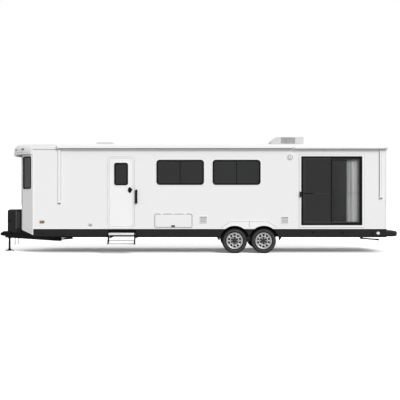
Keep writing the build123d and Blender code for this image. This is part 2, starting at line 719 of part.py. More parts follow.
def side_skirts():
    """Dark skirts under the walls, dropping to tips beside the wheels, notched over the entry step."""
    tip0, tip1 = SKIRT_TIP_ENDS
    inset = WHEEL_X[0] - ARCH_RADIUS - tip0
    profile = outline([(BODY_FRONT, FLOOR_TOP), (BODY_REAR, FLOOR_TOP), (BODY_REAR, SKIRT_BOTTOM),
                       (tip1, SKIRT_BOTTOM), (tip1 - inset * 0.6, SKIRT_TIP), (tip0 + inset * 0.6, SKIRT_TIP),
                       (tip0, SKIRT_BOTTOM), (BODY_FRONT, SKIRT_BOTTOM)])
    y0 = -HALF_WIDTH - SKIRT_THICK
    y1 = y0 - SKIRT_FLANGE
    discs = [rod_y(x, y1, y0, AXLE_Z, ARCH_RADIUS + ARCH_FLANGE) for x in WHEEL_X]
    flange = slab_y(profile, y1, y0) & (discs[0] + discs[1])
    skirt = slab_y(profile, y0, -HALF_WIDTH) + flange - arch_cutters(y1, -HALF_WIDTH)
    notch = block(STEP_FRONT - STEP_NOTCH_GAP, STEP_REAR + STEP_NOTCH_GAP, y0, -HALF_WIDTH,
                  SKIRT_BOTTOM, STEP_NOTCH_TOP)
    return [skirt - notch, other_side(skirt)]


def fender_panels():
    """White panels over the wheels, with two arches and a centre joint."""
    (top0, top1), (foot0, foot1) = FENDER_TOP_ENDS, FENDER_FOOT_ENDS
    shoulder, shoulder_z = FENDER_SHOULDER
    profile = outline([(foot0, FLOOR_TOP), (foot0, FENDER_FOOT), (top0 - shoulder, shoulder_z),
                       (top0, FENDER_TOP), (top1, FENDER_TOP), (top1 + shoulder, shoulder_z),
                       (foot1, FENDER_FOOT), (foot1, FLOOR_TOP)])
    y0 = -HALF_WIDTH - FENDER_THICK
    fender = slab_y(profile, y0, -HALF_WIDTH)
    fender = chamfer(fender.faces().sort_by(Axis.Y)[0].edges(), FENDER_THICK / 3)
    fender -= arch_cutters(y0, -HALF_WIDTH)
    middle = sum(WHEEL_X) / 2
    fender -= block(middle - 3, middle + 3, y0, y0 + 4, FLOOR_TOP, FENDER_TOP)
    return both_sides(fender)


def wheel_wells():
    """Sheet boxes over the wheels, open below and towards the arches."""
    y0 = -HALF_WIDTH + WALL
    shell = block(WELL_FRONT, WELL_REAR, y0, -WELL_INNER_Y, FLOOR_BOTTOM, WELL_TOP)
    shell -= block(WELL_FRONT + WELL_SHEET, WELL_REAR - WELL_SHEET, y0, -WELL_INNER_Y - WELL_SHEET,
                   FLOOR_BOTTOM, WELL_TOP - WELL_SHEET)
    return both_sides(shell)


def rear_bumper():
    """Wrap-around bumper with round rear corners and a rounded nose."""
    y1 = HALF_WIDTH + SKIRT_THICK + BUMPER_PROUD
    inner = HALF_WIDTH + SKIRT_THICK
    plan = Pos((BUMPER_FRONT + BUMPER_REAR) / 2, 0) * Rectangle(BUMPER_REAR - BUMPER_FRONT, 2 * y1)
    plan = fillet(plan.vertices().group_by(Axis.X)[-1], BUMPER_NOSE)
    bar = slab_z(plan, BUMPER_BOTTOM, BUMPER_TOP)
    bar = chamfer(bar.edges().group_by(Axis.Z)[-1].sort_by(Axis.X)[1:], BUMPER_EDGE)
    bar = chamfer(bar.edges().group_by(Axis.Z)[0].sort_by(Axis.X)[1:], BUMPER_EDGE)
    return [bar - block(BUMPER_FRONT, BODY_REAR, -inner, inner, BUMPER_BOTTOM, BUMPER_TOP)]


def trim_ring(trim, opening, grow):
    """Flat frame on the door-side wall round an opening."""
    y0 = -HALF_WIDTH - TRIM_THICK
    return slab_y(panel(**trim), y0, -HALF_WIDTH) - slab_y(panel(**opening, grow=grow), y0, -HALF_WIDTH)


def door_hinge_points():
    """Places of the entry door's hinges, and the hinge line's x and y."""
    x = DOOR["x0"] - 12
    y = -HALF_WIDTH - TRIM_THICK - HINGE_RADIUS - 1
    heights = [DOOR["z0"] + 180, (DOOR["z0"] + DOOR["z1"] - HINGE_LENGTH) / 2,
               DOOR["z1"] - 180 - HINGE_LENGTH]
    return x, y, heights


def door_frames():
    """White trims of the entry door, with its fixed hinge leaves, and of the patio doors."""
    ring = trim_ring(DOOR_TRIM, DOOR, DOOR_GAP)
    x, y, heights = door_hinge_points()
    for z in heights:
        fixed, _ = hinge((x, y, z), "z")
        third = HINGE_LENGTH / 3
        leaves = [block(x - 30, x, y, -HALF_WIDTH - TRIM_THICK, z0, z0 + third)
                  for z0 in (z, z + HINGE_LENGTH - third)]
        ring = join([ring, fixed] + leaves)
    return [ring, trim_ring(PATIO_TRIM, PATIO, 0)]


def entry_door():
    """Slab with its window cut, the window's rim and the moving hinge leaves."""
    y0 = -HALF_WIDTH - DOOR_PROUD
    slab = slab_y(panel(**DOOR), y0, y0 + DOOR_THICK)
    slab -= slab_y(panel(**DOOR_WINDOW, grow=-WINDOW_RIM), y0, y0 + DOOR_THICK)
    rim = slab_y(panel(**DOOR_WINDOW), y0 - WINDOW_PROUD, y0)
    rim -= slab_y(panel(**DOOR_WINDOW, grow=-WINDOW_RIM), y0 - WINDOW_PROUD, y0)
    x, y, heights = door_hinge_points()
    pieces = [slab]
    third = HINGE_LENGTH / 3
    for z in heights:
        _, moving = hinge((x, y, z), "z")
        leaf = block(x, DOOR["x0"] + 30, y - 3, y0, z + third + RUN_GAP, z + 2 * third - RUN_GAP)
        leaf -= rod_z(x, y, z, z + HINGE_LENGTH, HINGE_RADIUS / 2)
        pieces += [moving, leaf]
    return [join(pieces + [rim])]


def entry_door_glass():
    y0 = -HALF_WIDTH - DOOR_PROUD + GLASS_THICK
    return [slab_y(panel(**DOOR_WINDOW, grow=-WINDOW_RIM - RUN_GAP), y0, y0 + GLASS_THICK)]


def entry_door_latch():
    """Oval escutcheon with a paddle lever."""
    y0 = -HALF_WIDTH - DOOR_PROUD
    plate = slab_y(Ellipse(LATCH["width"] / 2, LATCH["height"] / 2), y0 - 12, y0)
    plate = Pos(LATCH["x"], 0, LATCH["z"]) * plate
    lever = Pos(LATCH["x"] + 14, 0, LATCH["z"] + 6) * slab_y(RectangleRounded(118, 30, 12), y0 - 46, y0 - 28)
    boss = rod_y(LATCH["x"] - 24, y0 - 30, y0 - 12, LATCH["z"] + 6, 17)
    return [join([plate, boss, lever])]


def grab_handles():
    """Bow handle beside the entry door, and the pull beside the patio door."""
    handles = []
    pull = PATIO["x0"]
    for x0, x1, z0, z1, reach in ((4088.0, 4152.0, 1390.0, 1773.0, 78.0),
                                  (pull - 44.0, pull - 10.0, 1560.0, 1720.0, 52.0)):
        seat = -HALF_WIDTH - (TRIM_THICK if x0 > DOOR_TRIM["x1"] + 1000 else 0)
        thick = 20.0
        bow = slab_y(panel(x0, x1, z0, z1, 15.0), seat - reach, seat)
        bow = chamfer(bow.edges().group_by(Axis.Y)[0], 8.0)
        bow -= block(x0, x1, seat - reach + thick, seat, z0 + 2 * thick, z1 - 2 * thick)
        handles.append(bow)
    return handles


def baggage_hinge_points():
    y = -HALF_WIDTH - HINGE_RADIUS
    z = BAGGAGE["z1"] + 2 * HINGE_RADIUS
    return y, z, [BAGGAGE["x0"] + 150, (BAGGAGE["x0"] + BAGGAGE["x1"] - HINGE_LENGTH) / 2, BAGGAGE["x1"] - 240]


def baggage_hinges():
    y, z, places = baggage_hinge_points()
    return [hinge((x, y, z), "x")[0] + block(x, x + HINGE_LENGTH, -HALF_WIDTH - 3, -HALF_WIDTH, z, z + 24)
            - block(x + HINGE_LENGTH / 3, x + 2 * HINGE_LENGTH / 3, -HALF_WIDTH - 3, -HALF_WIDTH, z, z + 12)
            for x in places]


def baggage_door():
    """Top-hung hatch with a raised field, a paddle latch and its moving hinge leaves."""
    y0 = -HALF_WIDTH - TRIM_THICK
    slab = slab_y(panel(**BAGGAGE), y0, y0 + BAGGAGE_THICK)
    field = slab_y(panel(**BAGGAGE, grow=-26), y0 - 6, y0)
    latch = rod_y((BAGGAGE["x0"] + BAGGAGE["x1"]) / 2, y0 - 16, y0, BAGGAGE["z0"] + 34, 22)
    y, z, places = baggage_hinge_points()
    third = HINGE_LENGTH / 3
    pieces = [slab, field, latch]
    for x in places:
        _, moving = hinge((x, y, z), "x")
        leaf = block(x + third + RUN_GAP, x + 2 * third - RUN_GAP, y0 - 6, y0, BAGGAGE["z1"] - 24, z)
        leaf -= rod_x(x, x + HINGE_LENGTH, y, z, HINGE_RADIUS / 2)
        pieces += [moving, leaf]
    return [join(pieces)]


def patio_leaf(kind):
    """Edges of a patio leaf: x0, x1, z0, z1."""
    sill = PATIO["z0"] + PATIO_JAMB
    head = PATIO["z1"] - PATIO_JAMB
    if kind == "fixed":
        return PATIO_MEETING_X - PATIO_STILE / 2, PATIO["x1"] - PATIO_JAMB, sill, head
    x0 = PATIO["x0"] + PATIO_JAMB + DOOR_GAP
    return x0, PATIO_MEETING_X + PATIO_STILE / 2, sill + RUN_GAP, head - DOOR_GAP


def leaf_ring(kind, y0):
    x0, x1, z0, z1 = patio_leaf(kind)
    ring = slab_y(panel(x0, x1, z0, z1), y0, y0 + PATIO_LEAF_THICK)
    return ring - slab_y(panel(x0, x1, z0, z1, 0, -PATIO_STILE), y0, y0 + PATIO_LEAF_THICK)


def patio_frame():
    """Outer frame through the wall, with the fixed leaf on its inner track."""
    y0 = -HALF_WIDTH - PATIO_PROUD
    y1 = -HALF_WIDTH + WALL
    ring = slab_y(panel(**PATIO), y0, y1) - slab_y(panel(**PATIO, grow=-PATIO_JAMB), y0, y1)
    return [ring + leaf_ring("fixed", -HALF_WIDTH + PATIO_FIXED_IN)]


def patio_slider():
    """Leaf on the outer track, with a push bar across its middle."""
    y0 = -HALF_WIDTH - PATIO_SLIDER_OUT
    ring = leaf_ring("slider", y0)
    x0, x1, z0, z1 = patio_leaf("slider")
    bar = block(x0 + PATIO_STILE, x1 - PATIO_STILE, y0, y0 + 8, 1654.0, 1684.0)
    return [ring + bar]


def patio_fixed_glass():
    x0, x1, z0, z1 = patio_leaf("fixed")
    y0 = -HALF_WIDTH + PATIO_LEAF_THICK
    return [slab_y(panel(x0, x1, z0, z1, 0, -PATIO_STILE - RUN_GAP), y0, y0 + GLASS_THICK)]


def patio_slider_glass():
    x0, x1, z0, z1 = patio_leaf("slider")
    y0 = -HALF_WIDTH - PATIO_SLIDER_OUT + 10
    return [slab_y(panel(x0, x1, z0, z1, 0, -PATIO_STILE - RUN_GAP), y0, y0 + GLASS_THICK)]


def curtain_rail():
    y = -HALF_WIDTH + WALL
    z = PATIO["z1"] + 12
    return [block(PATIO["x0"], PATIO["x1"], y, y + 2 * CURTAIN_DEPTH, z, z + 20)]


def patio_curtain():
    """Pleated curtain, drawn to the rear of the patio doors, hung from its rail."""
    x1 = PATIO["x1"] - PATIO_JAMB
    pitch = (x1 - CURTAIN_FRONT) / CURTAIN_PLEATS
    y = -HALF_WIDTH + WALL + CURTAIN_DEPTH
    swing = CURTAIN_DEPTH / 2 - CURTAIN_THICK
    arcs = []
    for i in range(CURTAIN_PLEATS):
        x = CURTAIN_FRONT + i * pitch
        way = swing if i % 2 else -swing
        arcs.append(ThreePointArc((x, y), (x + pitch / 2, y + way), (x + pitch, y)))
    plan = trace(Curve() + arcs, CURTAIN_THICK)
    return [slab_z(plan, FLOOR_TOP + 40, PATIO["z1"] + 12 - RUN_GAP)]


# Awning lengths: front, rear, drop below the roof edge; and arms: x, foot height, length's drop
AWNING_LENGTHS = [(AWNING_FRONT, AWNING_SPLIT, 0.0), (AWNING_SPLIT, AWNING_REAR, AWNING_REAR_DROP)]
AWNING_ARMS = [(AWNING_FRONT + 54.0, 1382.0, 0.0), (BODY_REAR - 158.0, 1522.0, AWNING_REAR_DROP)]


def awning_roller():
    """Roller housing along the roof's edge: a flat back and a round front, in two lengths."""
    pieces = []
    for x0, x1, drop in AWNING_LENGTHS:
        z0, z1, y = AWNING_Z0 - drop, AWNING_Z1 - drop, -HALF_WIDTH
        neck = y - AWNING_PROUD * 0.45
        back = Polyline((neck, z1), (y, z1), (y, z0), (neck, z0))
        front = ThreePointArc((neck, z0), (y - AWNING_PROUD, (z0 + z1) / 2), (neck, z1))
        pieces.append(slab_x(make_face([back, front]), x0, x1))
    return pieces


def awning_arms():
    """Folded arms: channels on the wall with feet at their lower ends."""
    arms = []
    for x, foot, drop in AWNING_ARMS:
        half = ARM_WIDTH / 2
        arm = block(x - half, x + half, -HALF_WIDTH - ARM_PROUD, -HALF_WIDTH, foot + ARM_TIP, AWNING_Z0 - drop)
        arm -= block(x - half + 22, x + half - 22, -HALF_WIDTH - ARM_PROUD, -HALF_WIDTH - ARM_PROUD + 8,
                     foot + ARM_TIP, AWNING_Z0 - drop)
        tip = panel(x - half - 6, x + half + 6, foot, foot + ARM_TIP, 12)
        tip = slab_y(tip, -HALF_WIDTH - ARM_PROUD - 8, -HALF_WIDTH)
        arms.append(arm + tip)
    return arms


def roof_air_conditioner(deck):
    """Low shroud with a curved nose, edges taken off and a recess for the side grilles."""
    nose, drop = AC_NOSE
    lines = [
        Polyline((AC_FRONT, AC_TOP - drop), (AC_FRONT, ROOF_EDGE), (AC_REAR, ROOF_EDGE),
                 (AC_REAR, AC_TOP - AC_EDGE), (AC_REAR - AC_EDGE, AC_TOP), (AC_FRONT + nose, AC_TOP)),
        ThreePointArc((AC_FRONT + nose, AC_TOP), (AC_FRONT + nose * 0.4, AC_TOP - drop * 0.38),
                      (AC_FRONT, AC_TOP - drop)),
    ]
    shroud = slab_y(make_face(lines), -AC_HALF_WIDTH, AC_HALF_WIDTH)
    shroud = chamfer(shroud.edges().filter_by(Axis.X).group_by(Axis.Z)[-1], AC_EDGE)
    g = AC_GRILLE
    y0, y1 = AC_HALF_WIDTH - g["depth"], AC_HALF_WIDTH
    for side in (-1, 1):
        shroud -= block(g["x0"], g["x1"], side * y0, side * y1, g["z0"], g["z1"])
    return [shroud - deck]


def air_conditioner_grilles():
    """Slats on a back plate in each side recess of the shroud."""
    g = AC_GRILLE
    y0 = -AC_HALF_WIDTH + g["depth"]
    x0, x1 = g["x0"] + RUN_GAP, g["x1"] - RUN_GAP
    plate = block(x0, x1, y0 - 6, y0, g["z0"] + RUN_GAP, g["z1"] - RUN_GAP)
    pitch = (g["z1"] - g["z0"]) / AC_SLATS
    slats = []
    for i in range(AC_SLATS):
        z = g["z0"] + i * pitch
        slats.append(block(x0, x1, -AC_HALF_WIDTH, y0 - 6, z + 0.25 * pitch, z + 0.75 * pitch))
    return both_sides(join([plate] + slats))


def vent_base(deck):
    """Upstand round the roof hatch with the fixed hinge knuckles."""
    half = (VENT_REAR - VENT_FRONT) / 2
    x = vent_centre()
    inner = half - VENT_WALL
    ring = block(x - half, x + half, -half, half, ROOF_EDGE, VENT_BASE_TOP)
    ring -= block(x - inner, x + inner, -inner, inner, ROOF_EDGE, VENT_BASE_TOP)
    ring -= deck
    pieces = [ring]
    third = HINGE_LENGTH / 3
    for y in vent_hinge_places():
        fixed, _ = hinge((VENT_REAR + VENT_HINGE_OUT, y, VENT_BASE_TOP), "y")
        pieces.append(fixed)
        for y0 in (y, y + HINGE_LENGTH - third):
            pieces.append(block(VENT_REAR - VENT_WALL / 2, VENT_REAR + VENT_HINGE_OUT, y0, y0 + third,
                                VENT_BASE_TOP - HINGE_RADIUS * 0.8, VENT_BASE_TOP - HINGE_RADIUS * 0.4))
    return [join(pieces)]


def vent_hinge_places():
    return [-170.0, 170.0 - HINGE_LENGTH]


def roof_vent_lid():
    """Crowned lid with its moving hinge leaves."""
    half = (VENT_REAR - VENT_FRONT) / 2
    plan = Pos(vent_centre(), 0) * RectangleRounded(2 * half, 2 * half, 30)
    lid = slab_z(plan, VENT_BASE_TOP + RUN_GAP, VENT_TOP)
    lid = chamfer(lid.edges().group_by(Axis.Z)[-1], 28)
    pieces = [lid]
    third = HINGE_LENGTH / 3
    for y in vent_hinge_places():
        _, moving = hinge((VENT_REAR + VENT_HINGE_OUT, y, VENT_BASE_TOP), "y")
        leaf = block(VENT_REAR - 2 * VENT_WALL, VENT_REAR + VENT_HINGE_OUT,
                     y + third + RUN_GAP, y + 2 * third - RUN_GAP,
                     VENT_BASE_TOP + HINGE_RADIUS * 0.55, VENT_BASE_TOP + HINGE_RADIUS * 0.9)
        pieces += [moving, leaf]
    return [join(pieces)]


# Louvred vents and plain hatches on the side walls: wall, x0, x1, z0, z1, corner radius, louvres
WALL_VENTS = [
    ("door", 5915.0, 6110.0, 834.0, 1012.0, 8.0, 5),
    ("door", 8213.0, 8405.0, 829.0, 1006.0, 8.0, 5),
    ("off", 6050.0, 6560.0, 1010.0, 1330.0, 12.0, 7),
    ("off", 6050.0, 6560.0, 2480.0, 2700.0, 12.0, 5),
]
WALL_HATCHES = [
    ("door", 2771.0, 2878.0, 750.0, 826.0, 10.0),
    ("off", 3300.0, 3700.0, 760.0, 1160.0, 20.0),
    ("off", 4300.0, 4480.0, 800.0, 980.0, 20.0),
    ("off", 8600.0, 8780.0, 800.0, 980.0, 20.0),
    ("off", 9300.0, 10300.0, 720.0, 1080.0, 40.0),
]


def wall_vents():
    pieces = []
    for wall, x0, x1, z0, z1, r, louvres in WALL_VENTS:
        half = (x1 - x0) / 2
        plate = slab_y(panel(-half, half, z0, z1, r), -VENT_PLATE, 0)
        pitch = (z1 - z0 - 2 * VENT_BORDER) / louvres
        for i in range(louvres):
            z = z0 + VENT_BORDER + i * pitch
            plate -= block(-half + VENT_BORDER, half - VENT_BORDER, -VENT_PLATE, -VENT_PLATE / 2,
                           z + pitch * 0.2, z + pitch * 0.7)
        pieces.append(on_wall(wall, (x0 + x1) / 2) * plate)
    return pieces


def wall_hatches():
    """Plain service doors with a raised field."""
    pieces = []
    for wall, x0, x1, z0, z1, r in WALL_HATCHES:
        half = (x1 - x0) / 2
        plate = slab_y(panel(-half, half, z0, z1, r), -VENT_PLATE / 2, 0)
        plate += slab_y(panel(-half, half, z0, z1, r, -r / 2), -VENT_PLATE, -VENT_PLATE / 2)
        pieces.append(on_wall(wall, (x0 + x1) / 2) * plate)
    return pieces


def spin(profile):
    """Turn a profile drawn as (outwards along the axle, radius) into a wheel piece at the origin."""
    return Rot(0, 0, 90) * revolve(profile, Axis.X)


def at_wheel(shape, axle, side):
    """Put a wheel piece on its axle; its outer side is drawn towards -Y."""
    placed = Pos(WHEEL_X[axle], -WHEEL_Y, AXLE_Z) * shape
    return placed if side == "door" else other_side(placed)


def tyre():
    """Trailer tyre: bead on the rim's seat, sidewalls that bulge and a flat tread."""
    half = TYRE_WIDTH / 2
    bead = RIM_HALF_WIDTH - RUN_GAP
    lip = FLANGE_RADIUS + 3
    bulge = (lip + TYRE_RADIUS) / 2
    side = [(bead, RIM_RADIUS + RUN_GAP), (bead, lip), (half, bulge), (half * 0.86, TYRE_RADIUS)]
    return spin(outline(side + [(-x, radius) for x, radius in reversed(side)]))


def rim():
    """Steel wheel: barrel, disc with hand holes, and the brake drum whose hub shows in the disc's middle."""
    w = RIM_HALF_WIDTH
    edge = w + RIM_FLANGE
    barrel = RIM_RADIUS - RIM_SHEET
    disc_back = RIM_SHEET - DISC_FACE
    profile = outline([
        (-edge, FLANGE_RADIUS), (-w, FLANGE_RADIUS), (-w, RIM_RADIUS), (w, RIM_RADIUS), (w, FLANGE_RADIUS),
        (edge, FLANGE_RADIUS), (w - RIM_SHEET, barrel), (disc_back, barrel), (disc_back, HUB_RADIUS),
        (-DISC_FACE, HUB_RADIUS), (-DISC_FACE, barrel), (RIM_SHEET - w, barrel)])
    body = spin(profile)
    step = pi / HOLE_COUNT
    hole = []
    for radius, way in ((HOLE_INNER, -1), (HOLE_INNER, 1), (HOLE_OUTER, 1), (HOLE_OUTER, -1)):
        turn = way * step * HOLE_FILL
        hole.append((radius * sin(turn), radius * cos(turn)))
    hole = slab_y(outline(hole), -w, 0)
    for i in range(HOLE_COUNT):
        body -= Rot(0, degrees(2 * step * i), 0) * hole
    cap_radius, cap_face, cap_length = HUB_CAP
    drum = outline([(disc_back, 0), (disc_back, DRUM_RADIUS), (DRUM_BACK, DRUM_RADIUS), (DRUM_BACK, 0)])
    cap = outline([(disc_back - cap_length, 0), (disc_back - cap_length, cap_face), (disc_back, cap_radius),
                   (disc_back, 0)])
    body = join([body, spin(drum), spin(cap)])
    return body - rod_y(0, -SPINDLE_END - 4, DRUM_BACK, 0, SPINDLE_RADIUS + RUN_GAP)


def axles():
    """Tubes with brake backing plates and spindles, one for each pair of wheels."""
    pieces = []
    for x in WHEEL_X:
        back = WHEEL_Y - DRUM_BACK - DOOR_GAP
        tube = rod_y(x, -back, back, AXLE_Z, AXLE_RADIUS)
        end = WHEEL_Y + SPINDLE_END
        spindle = rod_y(x, -end, end, AXLE_Z, SPINDLE_RADIUS)
        plate = rod_y(x, -back, -back + 6, AXLE_Z, DRUM_RADIUS - 4)
        pieces.append(join([tube, spindle] + both_sides(plate)))
    return pieces


def spring_ends():
    """X of the springs' eyes on one side, from front to rear."""
    return [x + way * SPRING_HALF for x in WHEEL_X for way in (-1, 1)]


def leaf_springs():
    """Leaf packs under the axles: three leaves that shorten downwards, with rolled eyes and a seat."""
    eye_z = AXLE_Z - AXLE_RADIUS - SPRING_SEAT + SPRING_RISE
    pieces = []
    half_width = SPRING_WIDTH / 2
    leaf = SPRING_THICK / 3
    middle = eye_z - SPRING_RISE
    for x in WHEEL_X:
        leaves = []
        for i, share in enumerate((1.0, 0.74, 0.48)):
            half = SPRING_HALF * share
            rise = SPRING_RISE * share ** 2
            top = ThreePointArc((x - half, middle + rise), (x, middle), (x + half, middle + rise))
            low = ThreePointArc((x - half, middle + rise - leaf), (x, middle - leaf),
                                (x + half, middle + rise - leaf))
            ends = [Line(top @ 0, low @ 0), Line(top @ 1, low @ 1)]
            drop = -i * (leaf - 0.2)
            leaves.append(Pos(0, 0, drop) * slab_y(make_face([top, low] + ends), -half_width, half_width))
        eyes = [rod_y(x + way * SPRING_HALF, -half_width, half_width, eye_z - leaf / 2, EYE_RADIUS)
                for way in (-1, 1)]
        seat = block(x - 40, x + 40, -half_width, half_width, middle - leaf, AXLE_Z - AXLE_RADIUS / 2)
        seat -= rod_y(x, -half_width, half_width, AXLE_Z, AXLE_RADIUS + RUN_GAP)
        spring = join(leaves + eyes + [seat])
        for x_eye in (x - SPRING_HALF, x + SPRING_HALF):
            spring -= rod_y(x_eye, -half_width, half_width, eye_z - leaf / 2, EYE_PIN + RUN_GAP)
        pieces += both_sides(Pos(0, -RAIL_Y, 0) * spring)
    return pieces


def spring_hangers():
    """Hangers under the rails at the outer eyes, and the equaliser between the inner ones."""
    leaf = SPRING_THICK / 3
    eye_z = AXLE_Z - AXLE_RADIUS - SPRING_SEAT + SPRING_RISE - leaf / 2
    ends = spring_ends()
    inner = SPRING_WIDTH / 2 + RUN_GAP
    outer = inner + HANGER_THICK
    pieces = []

    def cheeks(shape):
        return [slab_y(shape, -RAIL_Y + y, -RAIL_Y + y + HANGER_THICK) for y in (-outer, inner)]

    for x in (ends[0], ends[3]):
        shape = outline([(x - 40, RAIL_BOTTOM), (x + 40, RAIL_BOTTOM), (x + 20, eye_z - 20),
                         (x - 20, eye_z - 20)])
        pin = rod_y(x, -RAIL_Y - outer, -RAIL_Y + outer, eye_z, EYE_PIN)
        pieces.append(join(cheeks(shape) + [pin]))
    middle = (ends[1] + ends[2]) / 2
    shape = outline([(ends[1] - 24, eye_z - 22), (ends[2] + 24, eye_z - 22), (ends[2] + 24, eye_z + 12),
                     (middle + 40, RAIL_BOTTOM), (middle - 40, RAIL_BOTTOM), (ends[1] - 24, eye_z + 12)])
    pins = [rod_y(x, -RAIL_Y - outer, -RAIL_Y + outer, eye_z, EYE_PIN) for x in ends[1:3]]
    pieces.append(join(cheeks(shape) + pins))
    return [solid for piece in pieces for solid in both_sides(piece)]


def step_side_profile():
    """Side plate of the step in (y, z), from the upper tread down to the lower one."""
    u0, u1 = -STEP_UPPER_OUT, -STEP_UPPER_OUT - STEP_TREAD_DEPTH
    l0, l1 = -STEP_LOWER_OUT, -STEP_LOWER_OUT - STEP_TREAD_DEPTH
    return outline([(u0, STEP_UPPER[1]), (u1, STEP_UPPER[1]), (u1, STEP_UPPER[0]), (l1, STEP_LOWER[1]),
                    (l1, STEP_LOWER[0]), (l0, STEP_LOWER[0]), (l0, STEP_LOWER[1]), (u0, STEP_BAR_Z[0])])


def entry_step_frame():
    """Side plates with a tube between them, and the slide bars that run in the channels under the rail."""
    pieces = [rod_x(STEP_FRONT, STEP_REAR, STEP_TUBE["out"] - STEP_LOWER_OUT - STEP_TREAD_DEPTH,
                    STEP_TUBE["z"], STEP_TUBE["r"])]
    for x in (STEP_FRONT, STEP_REAR - STEP_SIDE):
        side = slab_x(step_side_profile(), x, x + STEP_SIDE)
        bar = block(x, x + STEP_SIDE, -STEP_UPPER_OUT, -STEP_UPPER_OUT + STEP_BAR_LENGTH, *STEP_BAR_Z)
        pieces.append(side + bar)
    return [join(pieces)]


def entry_step_treads():
    """Two treads with turned-down lips, between the side plates."""
    x0, x1 = STEP_FRONT + STEP_SIDE, STEP_REAR - STEP_SIDE
    treads = []
    for out, (z0, z1) in ((STEP_UPPER_OUT, STEP_UPPER), (STEP_LOWER_OUT, STEP_LOWER)):
        y0, y1 = -out - STEP_TREAD_DEPTH, -out
        tread = block(x0, x1, y0, y1, z0, z1)
        tread -= block(x0, x1, y0 + TREAD_SHEET, y1 - TREAD_SHEET, z0, z1 - TREAD_SHEET)
        treads.append(tread)
    return treads


def step_runners():
    """Channels under the main rail that carry the step's slide bars."""
    pieces = []
    z0, z1 = STEP_BAR_Z
    for x in (STEP_FRONT, STEP_REAR - STEP_SIDE):
        channel = block(x - TREAD_SHEET - RUN_GAP, x + STEP_SIDE + TREAD_SHEET + RUN_GAP,
                        -STEP_RUNNER_OUT, -STEP_RUNNER_IN, z0 - TREAD_SHEET - RUN_GAP, RAIL_BOTTOM)
        channel -= block(x - RUN_GAP, x + STEP_SIDE + RUN_GAP, -STEP_RUNNER_OUT, -STEP_RUNNER_IN,
                         z0 - RUN_GAP, z1 + RUN_GAP)
        pieces.append(channel)
    return pieces


# Stabilisers: x of the pivot and the way the stowed leg points
STABILISERS = {"front": (2230.0, -1), "rear": (BODY_REAR - 634.0, 1)}


def stabiliser_place(end):
    x, way = STABILISERS[end]
    return Pos(x, -LEG_Y, LEG_PIVOT_Z) * Rot(0, 0, 0 if way > 0 else 180)


def stabiliser_leg():
    """Channel leg from its pivot along +X, drooping a little, with a foot pad."""
    half = LEG_WIDTH / 2
    deep = LEG_DEPTH / 2
    bar = block(0, LEG_LENGTH, -half, half, -deep, deep) + rod_y(0, -half, half, 0, deep)
    bar -= block(deep + 10, LEG_LENGTH - 20, -half + 6, half - 6, -deep, deep - 6)
    length, width, thick = LEG_FOOT
    pad = block(LEG_LENGTH - length, LEG_LENGTH, -width / 2, width / 2, -deep - thick, -deep)
    bar = bar + pad - rod_y(0, -half, half, 0, LEG_PIN + RUN_GAP)
    return Rot(0, LEG_DROOP, 0) * bar


def stabiliser_legs(end, side):
    leg = stabiliser_place(end) * stabiliser_leg()
    return [leg if side == "door" else other_side(leg)]


def stabiliser_brackets():
    """Cheeks under the rails with the legs' pivot pins."""
    half = LEG_WIDTH / 2 + RUN_GAP
    top = RAIL_BOTTOM - LEG_PIVOT_Z
    pieces = []
    for end in STABILISERS:
        cheeks = [block(-34, 34, y, y + 8, -LEG_DEPTH / 2, top) for y in (-half - 8, half)]
        cap = block(-34, 34, -half - 8, half + 8, top - 8, top)
        pin = rod_y(0, -half - 8, half + 8, 0, LEG_PIN)
        pieces += both_sides(stabiliser_place(end) * join(cheeks + [cap, pin]))
    return pieces


def all_nodes():
    """Every node's solids by name."""
    deck = roof()
    brow = front_brow()
    beams = a_frame()
    nodes = {
        "main_rails": main_rails(), "cross_members": cross_members() + outriggers(),
        "a_frame": beams, "coupler": coupler(), "safety_chains": safety_chains(beams),
        "gas_bottle_cover": gas_bottle_cover(), "jack_housing": jack_housing(),
        "floor": floor(), "door_side_wall": door_side_wall(), "off_side_wall": off_side_wall(),
        "front_wall": front_wall(), "rear_wall": rear_wall(), "roof": deck, "front_brow": brow,
        "window_frames": window_frames(), "window_glass": window_glass(),
        "red_lamps": red_lamps(brow[0]), "amber_lamps": amber_lamps(), "white_lamps": white_lamps(),
        "door_frames": door_frames() + baggage_hinges(), "grab_handles": grab_handles(),
        "patio_frame": patio_frame() + curtain_rail(), "patio_fixed_glass": patio_fixed_glass(),
        "patio_curtain": patio_curtain(),
        "side_skirts": side_skirts(), "fender_panels": fender_panels(), "wheel_wells": wheel_wells(),
        "rear_bumper": rear_bumper(), "awning_roller": awning_roller(), "awning_arms": awning_arms(),
        "roof_air_conditioner": roof_air_conditioner(deck[0]),
        "air_conditioner_grilles": air_conditioner_grilles(), "roof_vent_base": vent_base(deck[0]),
        "wall_fittings": wall_vents() + wall_hatches(),
        "axles": axles(), "leaf_springs": leaf_springs() + spring_hangers(),
        "under_brackets": step_runners() + stabiliser_brackets(),
        "entry_door": entry_door(), "entry_door_glass": entry_door_glass(),
        "entry_door_latch": entry_door_latch(), "baggage_door": baggage_door(),
        "patio_slider": patio_slider(), "patio_slider_glass": patio_slider_glass(),
        "roof_vent_lid": roof_vent_lid(), "jack_leg": jack_leg(),
        "entry_step_frame": entry_step_frame(), "entry_step_treads": entry_step_treads(),
    }
    return nodes


def moving_repeats():
    """Stabiliser legs and wheels, each a body of its own."""
    nodes = {}
    one_tyre = tyre()
    one_rim = rim()
    for side in ("door", "off"):
        for end in STABILISERS:
            nodes[f"stabiliser_{end}_{side}"] = stabiliser_legs(end, side)
        for axle, name in enumerate(("front", "rear")):
            nodes[f"tyre_{name}_{side}"] = [at_wheel(one_tyre, axle, side)]
            nodes[f"rim_{name}_{side}"] = [at_wheel(one_rim, axle, side)]
    return nodes


